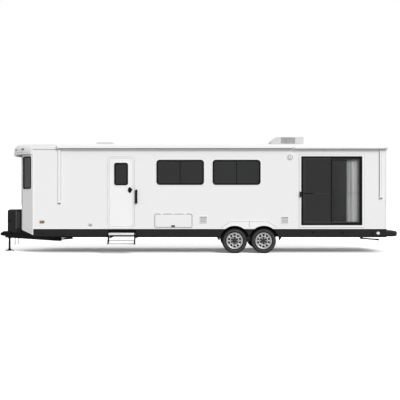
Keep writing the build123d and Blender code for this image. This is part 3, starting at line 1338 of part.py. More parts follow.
def write(name, pieces):
    """Write a node's solids, lowered so that the ball socket's centre is the origin."""
    lowered = [Pos(0, 0, -COUPLER_HEIGHT) * solid for piece in pieces for solid in piece.solids()]
    shape = lowered[0] if len(lowered) == 1 else Compound(children=lowered)
    export_step(shape, f"parts/{name}.step")


os.makedirs("parts", exist_ok=True)
for node, shapes in all_nodes().items():
    write(node, shapes)
for node, shapes in moving_repeats().items():
    write(node, shapes)
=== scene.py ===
import json
import math
import bmesh
import bpy
from mathutils import Matrix, Vector


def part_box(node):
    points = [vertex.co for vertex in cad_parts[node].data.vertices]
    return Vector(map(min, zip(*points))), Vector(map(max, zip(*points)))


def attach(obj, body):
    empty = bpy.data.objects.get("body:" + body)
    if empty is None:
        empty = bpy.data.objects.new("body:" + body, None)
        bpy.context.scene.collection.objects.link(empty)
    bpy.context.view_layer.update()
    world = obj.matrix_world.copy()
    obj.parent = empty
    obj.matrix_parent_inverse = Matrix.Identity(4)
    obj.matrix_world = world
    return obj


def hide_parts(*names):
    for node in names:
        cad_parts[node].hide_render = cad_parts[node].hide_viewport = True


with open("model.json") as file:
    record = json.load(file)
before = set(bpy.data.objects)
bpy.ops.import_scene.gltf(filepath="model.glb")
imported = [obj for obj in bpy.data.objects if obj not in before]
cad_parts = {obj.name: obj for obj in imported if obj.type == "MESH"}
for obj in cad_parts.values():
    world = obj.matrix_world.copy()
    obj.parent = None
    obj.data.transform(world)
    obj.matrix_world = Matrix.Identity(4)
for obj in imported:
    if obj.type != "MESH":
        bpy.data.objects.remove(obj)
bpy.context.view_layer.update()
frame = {"nodes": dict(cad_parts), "record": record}

# Travel caravan in metres: X rearwards from the ball socket, doors on -Y, Z up from the socket's centre.
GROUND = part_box("jack_leg")[0].z
WALL_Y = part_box("door_side_wall")[0].y
OFF_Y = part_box("off_side_wall")[1].y
# Painted shade: below this height the skirts turn black, partly a dark flange and partly the shade under them
SKIRT_PAINTED_SHADE_TOP = 0.008     # the skirts are black below this
STREAK_SHARE = 0.05   # strength of the run-off streaks on the walls
LINING_SKIN = 0.0008  # a side wall is white this far in from its outer face
SLOT_OF = {row["node"]: row["material_slot"] for row in frame["record"]["subparts"]}

# Camera: a level side view from the door side
CAMERA_PLACE = (5.915, -21.72, 1.023)
CAMERA_LENS = 65.4
SENSOR = 36.0

# Light
KEY_FROM = (0.42, -0.75, 0.52)
KEY_STRENGTH = 1.95
KEY_SOFTNESS = math.radians(22)
SKY_STRENGTH = 0.62
FLOOR_BOUNCE = 0.42
FLOOR_SEEN = 1.50
FLOOR_MIRRORED = 0.93
FLOOR_GLOW = 0.14
FLOOR_SIZE = 400.0


# Materials

def new_material(name):
    mat = bpy.data.materials.new(name)
    mat.use_nodes = True
    return mat, mat.node_tree, mat.node_tree.nodes["Principled BSDF"]


def fill(socket, value):
    """Give a socket a value, or a link from another socket."""
    if hasattr(value, "links"):
        socket.id_data.links.new(value, socket)
    else:
        socket.default_value = value


def put(node, **inputs):
    """Fill a node's inputs by name, spaces written as underscores."""
    for key, value in inputs.items():
        fill(node.inputs[key.replace("_", " ")], value)
    return node


def add(tree, kind, **inputs):
    """New node with its inputs filled."""
    return put(tree.nodes.new(kind), **inputs)


def calculate(tree, operation, *values):
    """Result of a math node on values or sockets."""
    node = tree.nodes.new("ShaderNodeMath")
    node.operation = operation
    for socket, value in zip(node.inputs, values):
        fill(socket, value)
    return node.outputs["Value"]


def grey(value):
    return (value, value, value, 1.0)


def place_of(tree, stretch=(1, 1, 1)):
    """The point on the part, in metres, stretched along its axes."""
    where = tree.nodes.new("ShaderNodeTexCoord")
    scale = add(tree, "ShaderNodeMapping", Scale=stretch)
    put(scale, Vector=where.outputs["Object"])
    return scale.outputs["Vector"]


def noise(tree, scale, detail=3.0, stretch=(1, 1, 1), roughness=0.55):
    node = add(tree, "ShaderNodeTexNoise", Scale=scale, Detail=detail, Roughness=roughness)
    put(node, Vector=place_of(tree, stretch))
    return node.outputs["Fac"]


def ramp(tree, factor, stops):
    """Colour ramp from (place, colour) stops."""
    node = tree.nodes.new("ShaderNodeValToRGB")
    while len(node.color_ramp.elements) < len(stops):
        node.color_ramp.elements.new(0.5)
    for element, (place, colour) in zip(node.color_ramp.elements, stops):
        element.position = place
        element.color = colour
    put(node, Fac=factor)
    return node.outputs["Color"]


def spread(tree, factor, low, high):
    """A factor of about 0.3 to 0.7 spread over low to high."""
    node = add(tree, "ShaderNodeMapRange", From_Min=0.3, From_Max=0.7, To_Min=low, To_Max=high)
    put(node, Value=factor)
    return node.outputs["Result"]


def bump(tree, shader, height, distance, strength=1.0):
    node = add(tree, "ShaderNodeBump", Strength=strength, Distance=distance)
    put(node, Height=height)
    put(shader, Normal=node.outputs["Normal"])


def mixed(tree, factor, first, second):
    """Colour between two colours or colour sockets."""
    node = tree.nodes.new("ShaderNodeMix")
    node.data_type = "RGBA"
    put(node, Factor=factor)
    for socket, value in (("A", first), ("B", second)):
        target = next(i for i in node.inputs if i.name == socket and i.type == "RGBA")
        fill(target, value)
    return next(o for o in node.outputs if o.type == "RGBA")


def finish_material(name, pale, dark, rough, grain, depth, metal=0.0, blotch=1.3, stretch=(1, 1, 1), coat=0.0,
                    gloss=0.5):
    """Surface with large soft blotches between two colours, uneven roughness and a fine bump.
    grain is the bump's noise scale, a metre; depth its height in metres; gloss its specular level."""
    mat, tree, shader = new_material(name)
    put(shader, Metallic=metal, Coat_Weight=coat, Specular_IOR_Level=gloss)
    colour = ramp(tree, noise(tree, blotch, 4.0), [(0.3, dark), (0.7, pale)])
    put(shader, Base_Color=colour)
    uneven = spread(tree, noise(tree, blotch * 7, 3.0, stretch), *rough)
    put(shader, Roughness=uneven)
    bump(tree, shader, noise(tree, grain, 3.0, stretch), depth)
    return mat


def beyond(tree, axis, limit, both_ways=False):
    """1 where the point's coordinate, or its size with both_ways, is over limit, else 0."""
    parts = tree.nodes.new("ShaderNodeSeparateXYZ")
    put(parts, Vector=place_of(tree))
    value = parts.outputs[axis]
    if both_ways:
        value = calculate(tree, "ABSOLUTE", value)
    return calculate(tree, "GREATER_THAN", value, limit)


def gelcoat(name, pale, dark, streak, lining=None):
    """Glossy white sandwich panel: faint long waves from its core and thin run-off streaks below the roof.
    A side wall also has a dark lining on its inner face, darkened partly as painted shade inside the cabin."""
    mat, tree, shader = new_material(name)
    base = ramp(tree, noise(tree, 0.9, 4.0), [(0.3, dark), (0.7, pale)])
    runs = noise(tree, 2.2, 5.0, (9.0, 9.0, 0.35), 0.7)
    mask = ramp(tree, runs, [(0.62, grey(0.0)), (0.82, grey(1.0))])
    colour = mixed(tree, calculate(tree, "MULTIPLY", mask, STREAK_SHARE), base, streak)
    # painted shade: the inner face takes the dark lining colour, partly standing in for the shade inside the cabin
    if lining:
        colour = mixed(tree, beyond(tree, "Y", OFF_Y - LINING_SKIN, True), lining, colour)
    put(shader, Base_Color=colour)
    put(shader, Roughness=spread(tree, noise(tree, 6.0, 4.0), 0.285, 0.31))
    bump(tree, shader, noise(tree, 1.6, 1.0), 0.0003)
    return mat


def skirt_material():
    """Dark grey moulded skirt, black along its lower edge and down its tips: partly a dark flange, partly painted shade
    of its underside.
    """
    mat = finish_material("skirt_grey", grey(0.011), grey(0.008), (0.42, 0.6), 260.0, 0.0007, blotch=2.2, gloss=0.20)
    tree = mat.node_tree
    target = tree.nodes["Principled BSDF"].inputs["Base Color"]
    colour = target.links[0].from_socket
    # painted shade: near black along the skirt's lower edge
    tree.links.new(mixed(tree, beyond(tree, "Z", SKIRT_PAINTED_SHADE_TOP), grey(0.0008), colour), target)
    return mat


def glass(name, tint, painted_reflection_tint, alpha, rough):
    """Dark glass whose tint brightens in faint blotches, painted as uneven reflections in it."""
    mat, tree, shader = new_material(name)
    # painted reflection: the tint brightens in faint blotches
    put(shader, Base_Color=ramp(tree, noise(tree, 0.7, 2.0), [(0.35, tint), (0.7, painted_reflection_tint)]))
    put(shader, Alpha=alpha, IOR=1.5)
    put(shader, Roughness=spread(tree, noise(tree, 5.0, 4.0), *rough))
    bump(tree, shader, noise(tree, 1.1, 1.0), 0.0004)
    return mat


def lens_material(name, pale, dark):
    """Moulded lamp lens: coloured plastic with fine flutes and a clear coat."""
    mat, tree, shader = new_material(name)
    put(shader, Coat_Weight=0.6, Roughness=0.18, IOR=1.49)
    wave = add(tree, "ShaderNodeTexWave", Scale=38.0, Distortion=0.0)
    wave.wave_type = "BANDS"
    wave.bands_direction = "Z"
    put(wave, Vector=place_of(tree))
    flutes = wave.outputs["Fac"]
    put(shader, Base_Color=ramp(tree, flutes, [(0.0, dark), (1.0, pale)]))
    bump(tree, shader, flutes, 0.0016, 0.6)
    return mat


def rubber_material(name, pale, dark):
    """Tyre rubber, unevenly dusty, with a fine grain."""
    mat, tree, shader = new_material(name)
    base = ramp(tree, noise(tree, 9.0, 5.0), [(0.3, dark), (0.7, pale)])
    put(shader, Base_Color=base)
    put(shader, Specular_IOR_Level=0.15)
    put(shader, Roughness=spread(tree, noise(tree, 26.0, 3.0), 0.55, 0.72))
    bump(tree, shader, noise(tree, 240.0, 2.0), 0.0006)
    return mat


def cloth_material():
    """Pale curtain cloth with a woven bump and a soft sheen, and light and dark streaks across it painted as the
    shading of its folds.
    """
    mat, tree, shader = new_material("curtain_cloth")
    put(shader, Roughness=0.9, Sheen_Weight=0.35)
    # painted shade and highlight: light and dark streaks across the cloth stand in for the shading of its folds
    folds = noise(tree, 14.0, 2.0, (1.0, 0.1, 0.02))
    base = ramp(tree, folds, [(0.34, (0.64, 0.67, 0.67, 1)), (0.60, (0.96, 0.97, 0.96, 1))])
    put(shader, Base_Color=base)
    weave = []
    for direction in ("X", "Z"):
        wave = add(tree, "ShaderNodeTexWave", Scale=320.0, Distortion=0.6)
        wave.bands_direction = direction
        put(wave, Vector=place_of(tree))
        weave.append(wave.outputs["Fac"])
    bump(tree, shader, calculate(tree, "ADD", *weave), 0.0005)
    return mat


def tread_material():
    """Aluminium tread sheet, brushed along the step."""
    mat, tree, shader = new_material("tread_aluminium")
    put(shader, Metallic=1.0)
    brushed = noise(tree, 60.0, 4.0, (0.04, 1.0, 1.0))
    put(shader, Base_Color=ramp(tree, brushed, [(0.3, grey(0.62)), (0.7, grey(0.80))]))
    put(shader, Roughness=spread(tree, brushed, 0.3, 0.5))
    bump(tree, shader, brushed, 0.0004)
    return mat


# Finish: pale and dark grey, roughness from and to, the bump's scale and height, and what else differs
FINISHES = {
    "roof_white": (0.88, 0.83, (0.5, 0.7), 70.0, 0.0012, {}),
    "trim_white": (0.92, 0.89, (0.28, 0.4), 120.0, 0.0003, {}),
    "chassis_black": (0.004, 0.002, (0.35, 0.55), 140.0, 0.0006, dict(blotch=4.0, gloss=0.10)),
    "frame_black": (0.0035, 0.002, (0.3, 0.45), 180.0, 0.0004, dict(blotch=3.0, gloss=0.10)),
    # gasket also colours the painted shadow strip under the awning
    "gasket": (0.020, 0.013, (0.4, 0.55), 150.0, 0.0004, dict(blotch=4.0, gloss=0.45)),
    "fitting_grey": (0.70, 0.64, (0.35, 0.5), 160.0, 0.0004, {}),
    # These greys serve real louvres and joints, and also the painted shade lines under the brow, beside the awning
    # arms, under the roof's edge and under the vent hoods
    "louvre_and_shade_grey": (0.56, 0.50, (0.4, 0.55), 160.0, 0.0004, {}),
    "seal_and_shade_grey": (0.27, 0.22, (0.5, 0.65), 110.0, 0.0004, dict(blotch=5.0)),
    "sealant": (0.62, 0.55, (0.6, 0.8), 60.0, 0.0010, dict(blotch=9.0)),
    "awning_white": (0.90, 0.87, (0.3, 0.42), 90.0, 0.0004, {}),
    "air_conditioner": (0.62, 0.55, (0.35, 0.5), 140.0, 0.0005, {}),
    "grille_grey": (0.54, 0.47, (0.45, 0.6), 140.0, 0.0005, dict(blotch=4.0)),
    "hatch_lid": (0.62, 0.54, (0.2, 0.35), 90.0, 0.0005, dict(blotch=3.0)),
    "gas_cover_grey": (0.010, 0.006, (0.36, 0.5), 210.0, 0.0010, dict(blotch=3.0, gloss=0.18)),
    # Painted light on the gas cover: paler side fields for its lit side, and paler corner beads for highlights
    "gas_cover_painted_light": (0.034, 0.022, (0.36, 0.5), 210.0, 0.0010, dict(blotch=3.0, gloss=0.3)),
    "gas_cover_painted_highlight": (0.11, 0.07, (0.36, 0.5), 210.0, 0.0008, dict(blotch=5.0)),
    "leaf_grey": (0.014, 0.009, (0.3, 0.45), 180.0, 0.0004, dict(blotch=3.0, gloss=0.36)),
    # The patio screen's grey is partly painted shade of the room behind the fixed pane
    "screen_painted_shade": (0.056, 0.046, (0.6, 0.8), 160.0, 0.0001, dict(blotch=2.0, gloss=0.2)),
    "matt_black": (0.012, 0.008, (0.5, 0.7), 60.0, 0.0008, dict(blotch=2.0, gloss=0.0)),
    "bead_grey": (0.046, 0.034, (0.35, 0.5), 150.0, 0.0004, dict(blotch=4.0, gloss=0.4)),
    "jack_black": (0.004, 0.002, (0.3, 0.5), 170.0, 0.0005, dict(blotch=5.0, gloss=0.12)),
    "zinc_steel": (0.58, 0.44, (0.32, 0.5), 40.0, 0.0004, dict(metal=1.0, blotch=18.0)),
    "spring_steel": (0.05, 0.025, (0.45, 0.65), 150.0, 0.0006, dict(metal=0.5, blotch=8.0)),
    "wheel_silver": (0.52, 0.42, (0.22, 0.36), 200.0, 0.0003, dict(metal=0.85, blotch=6.0, coat=0.3)),
    "well_black": (0.004, 0.002, (0.6, 0.85), 180.0, 0.0010, dict(gloss=0.1)),
}


def make_materials():
    """One material for each slot of the record, and those of the finer pieces."""
    streak = (0.74, 0.73, 0.70, 1)
    found = {name: finish_material(name, grey(pale), grey(dark), rough, grain, depth, **more)
             for name, (pale, dark, rough, grain, depth, more) in FINISHES.items()}
    found.update({
        "shell_white": gelcoat("shell_white", grey(0.875), grey(0.866), streak),
        # The side walls' lining colour is partly painted shade inside the cabin
        "shell_sides": gelcoat("shell_sides", grey(0.875), grey(0.866), streak, (0.36, 0.33, 0.30, 1)),
        "skirt_grey": skirt_material(),
        "floor_board": finish_material("floor_board", (0.05, 0.043, 0.036, 1), (0.035, 0.03, 0.025, 1),
                                       (0.55, 0.8), 45.0, 0.0010, stretch=(0.15, 1, 1), gloss=0.2),
        "tinted_glass": glass("tinted_glass", grey(0.0008), (0.004, 0.005, 0.005, 1), 0.96, (0.02, 0.06)),
        "patio_glass": glass("patio_glass", grey(0.001), (0.003, 0.003, 0.004, 1), 0.17, (0.01, 0.04)),
        "slider_glass": glass("slider_glass", grey(0.001), (0.003, 0.003, 0.003, 1), 0.92, (0.02, 0.05)),
        "curtain_cloth": cloth_material(),
        "lens_red": lens_material("lens_red", (0.30, 0.045, 0.035, 1), (0.18, 0.025, 0.02, 1)),
        "lens_amber": lens_material("lens_amber", (0.42, 0.21, 0.07, 1), (0.22, 0.10, 0.04, 1)),
        "lens_white": lens_material("lens_white", grey(0.84), grey(0.74)),
        "tread_aluminium": tread_material(),
        "tyre_rubber": rubber_material("tyre_rubber", grey(0.010), grey(0.004)),
        "pale_band_rubber": rubber_material("pale_band_rubber", grey(0.062), grey(0.040)),
    })
    return found


# Nodes whose finish is finer than their slot's
FINISH_OF = {
    "door_side_wall": "shell_sides", "off_side_wall": "shell_sides", "roof_air_conditioner": "air_conditioner",
    "air_conditioner_grilles": "grille_grey", "roof_vent_lid": "hatch_lid", "wall_fittings": "fitting_grey",
    "jack_leg": "matt_black", "patio_slider_glass": "slider_glass", "patio_slider": "leaf_grey",
    "baggage_door": "shell_white",
}


def dress_nodes(materials):
    """Give every node's object the material of its slot, or its own finish."""
    for name, obj in frame["nodes"].items():
        obj.data.materials.clear()
        obj.data.materials.append(materials[FINISH_OF.get(name, SLOT_OF[name])])


# Mesh building. A place is a matrix: its axes run along a face, up it and outwards from it.

def place_on(along, up, origin):
    along, up = Vector(along).normalized(), Vector(up).normalized()
    matrix = Matrix((along, up, along.cross(up))).transposed().to_4x4()
    matrix.translation = origin
    return matrix


def facing_up(origin):
    """Place that faces up."""
    return place_on((1, 0, 0), (0, 1, 0), origin)


def facing(way, y):
    """Upright place at y that faces the off side for way 1 and the door side for way -1."""
    return place_on((-way, 0, 0), (0, 0, 1), (0, y, -DATUM))


def polar(radius, turn, off):
    """Point at an angle round a place's outward axis."""
    return Vector((radius * math.cos(turn), radius * math.sin(turn), off))


def shift(place, along, up, out=0.0):
    return place @ Matrix.Translation((along, up, out))


def skin(bm, rings, loop=False, caps=True):
    """Faces between neighbouring rings of points; loop joins last to first, caps closes the ends."""
    rows = [[bm.verts.new(point) for point in ring] for ring in rings]
    pairs = list(zip(rows, rows[1:]))
    if loop:
        pairs.append((rows[-1], rows[0]))
    for first, second in pairs:
        for i, vert in enumerate(first):
            j = (i + 1) % len(first)
            bm.faces.new((vert, first[j], second[j], second[i]))
    if caps and not loop:
        bm.faces.new(rows[0])
        bm.faces.new(rows[-1])


def rounded(box, radius, grow=0.0, steps=6):
    """Points round a rectangle (x0, x1, z0, z1) with round corners, moved outwards by grow."""
    x0, x1, z0, z1 = box
    reach = max(radius + grow, 0.0002)
    corners = ((x1 - radius, z1 - radius), (x0 + radius, z1 - radius), (x0 + radius, z0 + radius),
               (x1 - radius, z0 + radius))
    points = []
    for quarter, (x, z) in enumerate(corners):
        for i in range(steps + 1):
            turn = math.radians(90 * (quarter + i / steps))
            points.append((x + reach * math.cos(turn), z + reach * math.sin(turn)))
    return points


def hoop(bm, place, box, radius, profile, steps=6):
    """Strip round a rounded rectangle; profile is a closed list of (outwards in the face, off the face)."""
    skin(bm, [[place @ Vector((x, z, off)) for x, z in rounded(box, radius, grow, steps)] for grow, off in profile],
         loop=True)


def plate(bm, place, box, radius, low, high, edge=0.003, steps=4):
    """Plate with round corners and a soft outer edge, from low to high off the face."""
    profile = [(0.0, low), (0.0, high - edge), (-0.3 * edge, high - 0.3 * edge), (-edge, high)]
    skin(bm, [[place @ Vector((x, z, off)) for x, z in rounded(box, radius, grow, steps)] for grow, off in profile])


def bar(bm, place, start, end, profile):
    """Straight bar in a face; profile is a closed list of (to the left of its run, off the face)."""
    first, last = Vector(start), Vector(end)
    run = (last - first).normalized()
    left = Vector((-run.y, run.x))
    rings = []
    for tip in (first, last):
        rings.append([place @ Vector((*(tip + left * side), off)) for side, off in profile])
    skin(bm, rings)


def ridge(half, height, base=0.0):
    """Profile of a low rounded bar."""
    return [(-half, base), (-half, base + 0.5 * height), (-0.6 * half, base + height), (0.6 * half, base + height),
            (half, base + 0.5 * height), (half, base)]


def turned(bm, place, profile, sides=24, loop=False):
    """Lathe about the place's outward axis; profile is a list of (radius, off the face)."""
    rings = []
    for radius, off in profile:
        turns = [math.tau * i / sides for i in range(sides)]
        rings.append([place @ polar(radius, t, off) for t in turns])
    skin(bm, rings, loop)


def pipe(bm, points, radius, sides=10):
    """Round tube along points."""
    points = [Vector(p) for p in points]
    side = None
    rings = []
    for i, point in enumerate(points):
        run = (points[min(i + 1, len(points) - 1)] - points[max(i - 1, 0)]).normalized()
        side = run.orthogonal() if side is None else side - run * side.dot(run)
        side.normalize()
        other = run.cross(side)
        turns = [math.tau * k / sides for k in range(sides)]
        rings.append([point + (side * math.cos(t) + other * math.sin(t)) * radius for t in turns])
    skin(bm, rings)


def bolt(bm, place, radius, height, washer=1.6):
    """Hexagon head on a round washer."""
    turned(bm, place, [(radius * washer, 0), (radius * washer, height * 0.2), (radius * 0.9, height * 0.28)], 16)
    turned(bm, place, [(radius, height * 0.2), (radius, height * 0.85), (radius * 0.82, height)], 6)


def piece(name, bm, slot, body="caravan", finish=None, replaces=(), sharp=38):
    """Object from a built mesh, with the finish of its slot unless another is named."""
    bmesh.ops.recalc_face_normals(bm, faces=bm.faces)
    mesh = bpy.data.meshes.new(name)
    bm.to_mesh(mesh)
    bm.free()
    mesh.shade_smooth()
    mesh.set_sharp_from_angle(angle=math.radians(sharp))
    mesh.materials.append(MATERIALS[finish or slot])
    obj = bpy.data.objects.new(name, mesh)
    bpy.context.scene.collection.objects.link(obj)
    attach(obj, body)
    if replaces:
        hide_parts(*replaces)
    return obj


# Places. Heights h are metres over the source's datum, 0.46 below the socket's centre.

DATUM = 0.46
BODY_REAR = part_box("door_side_wall")[1].x
BAY_FRONT, BAY_FACET = 0.8, 0.39
FACET_X = BAY_FRONT + BAY_FACET / 2
FACET_Y = OFF_Y - BAY_FACET / 2
WALLS = {
    "door": place_on((1, 0, 0), (0, 0, 1), (0, WALL_Y, -DATUM)),
    "off": place_on((-1, 0, 0), (0, 0, 1), (0, OFF_Y, -DATUM)),
    "front": place_on((0, -1, 0), (0, 0, 1), (BAY_FRONT, 0, -DATUM)),
    "front door side": place_on((1, -1, 0), (0, 0, 1), (FACET_X, -FACET_Y, -DATUM)),
    "front off side": place_on((-1, -1, 0), (0, 0, 1), (FACET_X, FACET_Y, -DATUM)),
    "rear": place_on((0, 1, 0), (0, 0, 1), (BODY_REAR, 0, -DATUM)),
}
# Wall, centre along it, sill, head, width, corner radius, panes
WINDOWS = [
    ("door", 5.3565, 1.909, 2.617, 1.343, 0.093, 2),
    ("door", 6.947, 1.909, 2.617, 1.354, 0.093, 2),
    ("off", 2.5, 1.909, 2.617, 0.9, 0.093, 1),
    ("off", 5.15, 1.909, 2.617, 1.343, 0.093, 2),
    ("off", BODY_REAR - 1.674, 1.909, 2.617, 1.343, 0.093, 2),
    ("front", 0.0, 1.796, 2.725, 1.3, 0.06, 1),
    ("front door side", 0.0, 1.796, 2.725, 0.43, 0.06, 1),
    ("front off side", 0.0, 1.796, 2.725, 0.43, 0.06, 1),
    ("rear", 0.0, 1.909, 2.617, 1.2, 0.093, 1),
]
DOOR = (3.357, 4.023, 0.733, 2.659)
DOOR_RADIUS = 0.07
DOOR_FACE = 0.018
DOOR_WINDOW = (3.495, 3.887, 1.898, 2.532)
BAGGAGE = (4.646, 5.681, 0.710, 1.077)
PATIO = (BODY_REAR - 2.402, BODY_REAR - 0.685, 0.775, 2.715)
PATIO_TRIM = (BODY_REAR - 2.459, BODY_REAR - 0.620, 0.710, 2.772)
PATIO_MEETING = BODY_REAR - 1.548
SKIRT_OUT = 0.012
SIDES = (("door", 1), ("off", -1))
FENDER_OUT = 0.020
FENDER_TOP = 0.883
SKIRT_EDGE = 0.436
FOOT_STRIP = 0.673
PATIO_WAIST = 1.680
LOCK_BAR = 1.669
WHEELS = [("front", "door"), ("front", "off"), ("rear", "door"), ("rear", "off")]
TYRE_RADIUS = 0.355
ARCH_RADIUS = 0.425


def on_wall(wall, at=0.0, h=0.0, out=0.0):
    return shift(WALLS[wall], -at if wall == "off" else at, h, out)


def wheel_place(end, side):
    """Middle of a wheel, with the axis outwards."""
    low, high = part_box(f"tyre_{end}_{side}")
    along = (1, 0, 0) if side == "door" else (-1, 0, 0)
    return place_on(along, (0, 0, 1), (low + high) / 2)


# Wheels

SIDEWALL = [(0.214, 0.0790), (0.2335, 0.0800), (0.2370, 0.0875), (0.2440, 0.0915), (0.2480, 0.0950),
            (0.2530, 0.0955), (0.2560, 0.0935), (0.2590, 0.0955), (0.2720, 0.0995), (0.2850, 0.1018),
            (0.2935, 0.1024), (0.2950, 0.1010), (0.2975, 0.1010), (0.2990, 0.1024), (0.3120, 0.1000),
            (0.3210, 0.0975), (0.3225, 0.0955), (0.3250, 0.0955), (0.3265, 0.0960), (0.3390, 0.0915),
            (0.3455, 0.0885)]
TREAD_BASE = 0.3465
TREAD_RIBS = [(-0.0875, -0.0550), (-0.0480, -0.0210), (-0.0145, 0.0145), (0.0210, 0.0480), (0.0550, 0.0875)]
TREAD_PITCHES = 56


def make_tyre(end, side):
    """Road tyre: ringed sidewalls, rim guard, and a tread of slanted blocks in five ribs."""
    place = wheel_place(end, side)
    bm = bmesh.new()
    profile = SIDEWALL + [(TREAD_BASE, 0.0600), (TREAD_BASE, -0.0600)]
    profile += [(radius, -off) for radius, off in reversed(SIDEWALL)]
    turned(bm, place, profile, 72, loop=True)
    pitch = math.tau / TREAD_PITCHES
    for row, (low, high) in enumerate(TREAD_RIBS):
        slant = 0.30 * pitch * (1 if row % 2 else -1)
        for i in range(TREAD_PITCHES):
            start = (i + 0.5 * (row % 2)) * pitch
            rings = []
            for depth, inset in ((0.0, 0.0), (0.85, 0.0004), (1.0, 0.0014)):
                ring = []
                corners = ((low + inset, 0.10), (high - inset, 0.10), (high - inset, 0.90), (low + inset, 0.90))
                for off, part in corners:
                    crown = TYRE_RADIUS - 0.0004 - 0.006 * (off / 0.0875) ** 2
                    radius = TREAD_BASE - 0.003 + (crown - TREAD_BASE + 0.003) * depth
                    turn = start + part * pitch + slant * (off - low) / (high - low)
                    turn += math.copysign(inset / TYRE_RADIUS, 0.5 - part)
                    ring.append(place @ polar(radius, turn, off))
                rings.append(ring)
            skin(bm, rings)
    piece(f"road_tyre_{end}_{side}", bm, "tyre_rubber", f"wheel_{end}_{side}", replaces=[f"tyre_{end}_{side}"])
    # A lighter ring of rubber round the middle of each sidewall
    bm = bmesh.new()
    band = [(radius, off + 0.0006) for radius, off in SIDEWALL if 0.258 < radius < 0.3215]
    turned(bm, place, band + [(radius, off - 0.0012) for radius, off in reversed(band)], 72, loop=True)
    piece(f"tyre_band_{end}_{side}", bm, "tyre_rubber", f"wheel_{end}_{side}", finish="pale_band_rubber")


HUB_FACE = 0.038
HOLES = 10
HOLE_REACH = (0.134, 0.190)


def make_wheel_details(end, side):
    """Pressed lips round the hand holes, bead on the rim's edge, valve, and a dark hub plate with its nuts."""
    place = wheel_place(end, side)
    body = f"wheel_{end}_{side}"
    bm = bmesh.new()
    turned(bm, place, [(0.2235, 0.0868), (0.2250, 0.0905), (0.2295, 0.0915), (0.2325, 0.0895), (0.2325, 0.0870)], 64,
           loop=True)
    turned(bm, place, [(0.1135, 0.0475), (0.1135, 0.0510), (0.1165, 0.0530), (0.1215, 0.0530), (0.1250, 0.0505),
                       (0.1250, 0.0475)], 48, loop=True)
    turned(bm, place, [(0.1945, 0.0475), (0.1955, 0.0505), (0.1985, 0.0520), (0.2020, 0.0505), (0.2025, 0.0475)], 64,
           loop=True)
    half = math.pi / HOLES * 0.62
    for i in range(HOLES):
        middle = math.tau * i / HOLES + math.pi / 2
        rings = []
        for grow, off in ((0.0, 0.0470), (0.0, 0.0510), (0.0022, 0.0520), (0.0048, 0.0505), (0.0055, 0.0475)):
            ring = []
            for radius, way in ((HOLE_REACH[0] - grow, -1), (HOLE_REACH[0] - grow, 1), (HOLE_REACH[1] + grow, 1),
                                (HOLE_REACH[1] + grow, -1)):
                turn = middle + way * (half + grow / radius)
                ring.append(place @ polar(radius, turn, off))
            rings.append(ring)
        skin(bm, rings, loop=True)
    piece(f"wheel_lips_{end}_{side}", bm, "wheel_silver", body)
    bm = bmesh.new()
    turned(bm, place, [(0.1305, 0.0200), (0.1305, 0.0240), (0.1420, 0.0280), (0.1900, 0.0280), (0.2010, 0.0240),
                       (0.2010, 0.0200)], 48, loop=True)
    piece(f"brake_shield_{end}_{side}", bm, "chassis_black", body)
    bm = bmesh.new()
    turned(bm, place, [(0.0430, HUB_FACE), (0.0430, HUB_FACE + 0.003), (0.0520, HUB_FACE + 0.006),
                       (0.1060, HUB_FACE + 0.006), (0.1105, HUB_FACE + 0.003), (0.1105, HUB_FACE)], 48, loop=True)
    turned(bm, place, [(0.0445, HUB_FACE + 0.004), (0.0440, HUB_FACE + 0.012), (0.0365, 0.0895), (0.0325, 0.0925),
                       (0.0200, 0.0930), (0.0180, 0.0915), (0.0020, 0.0915)], 40)
    piece(f"wheel_hub_plate_{end}_{side}", bm, "chassis_black", body, finish="gasket")
    bm = bmesh.new()
    for i in range(6):
        turn = math.tau * i / 6
        spot = shift(place, 0.0785 * math.cos(turn), 0.0785 * math.sin(turn), HUB_FACE + 0.006)
        bolt(bm, spot, 0.0115, 0.018, 1.25)
        turned(bm, spot, [(0.006, 0.016), (0.006, 0.023), (0.0045, 0.0245)], 10)
    spot = shift(place, 0.0, -0.2065, 0.049)
    turned(bm, spot, [(0.0058, 0.0), (0.0058, 0.012), (0.0042, 0.014), (0.0042, 0.026), (0.0050, 0.027),
                      (0.0050, 0.034), (0.0036, 0.036)], 12)
    piece(f"wheel_nuts_{end}_{side}", bm, "zinc_steel", body)


# Openings

def make_windows():
    """White surrounds, rubber beads and the bars' raised middles on every window."""
    band, bead = bmesh.new(), bmesh.new()
    for wall, at, sill, head, width, radius, panes in WINDOWS:
        place = on_wall(wall, at)
        box = (-width / 2, width / 2, sill, head)
        hoop(band, place, box, radius, [(0.0004, 0), (0.0004, 0.0050), (0.006, 0.0066), (0.022, 0.0054), (0.027, 0.0)])
        hoop(bead, place, box, radius,
             [(-0.0280, 0.0095), (-0.0275, 0.0125), (-0.0245, 0.0138), (-0.0215, 0.0125), (-0.0205, 0.0095)])
        hoop(bead, place, box, radius,
             [(-0.0430, -0.0062), (-0.0425, -0.0030), (-0.0300, 0.0010), (-0.0284, -0.0010), (-0.0284, -0.0062)])
        if panes == 2:
            bar(bead, place, (0, sill + 0.030), (0, head - 0.030), ridge(0.0085, 0.0060, 0.0045))
    piece("window_surrounds", band, "trim_white")
    piece("window_beads", bead, "frame_black")


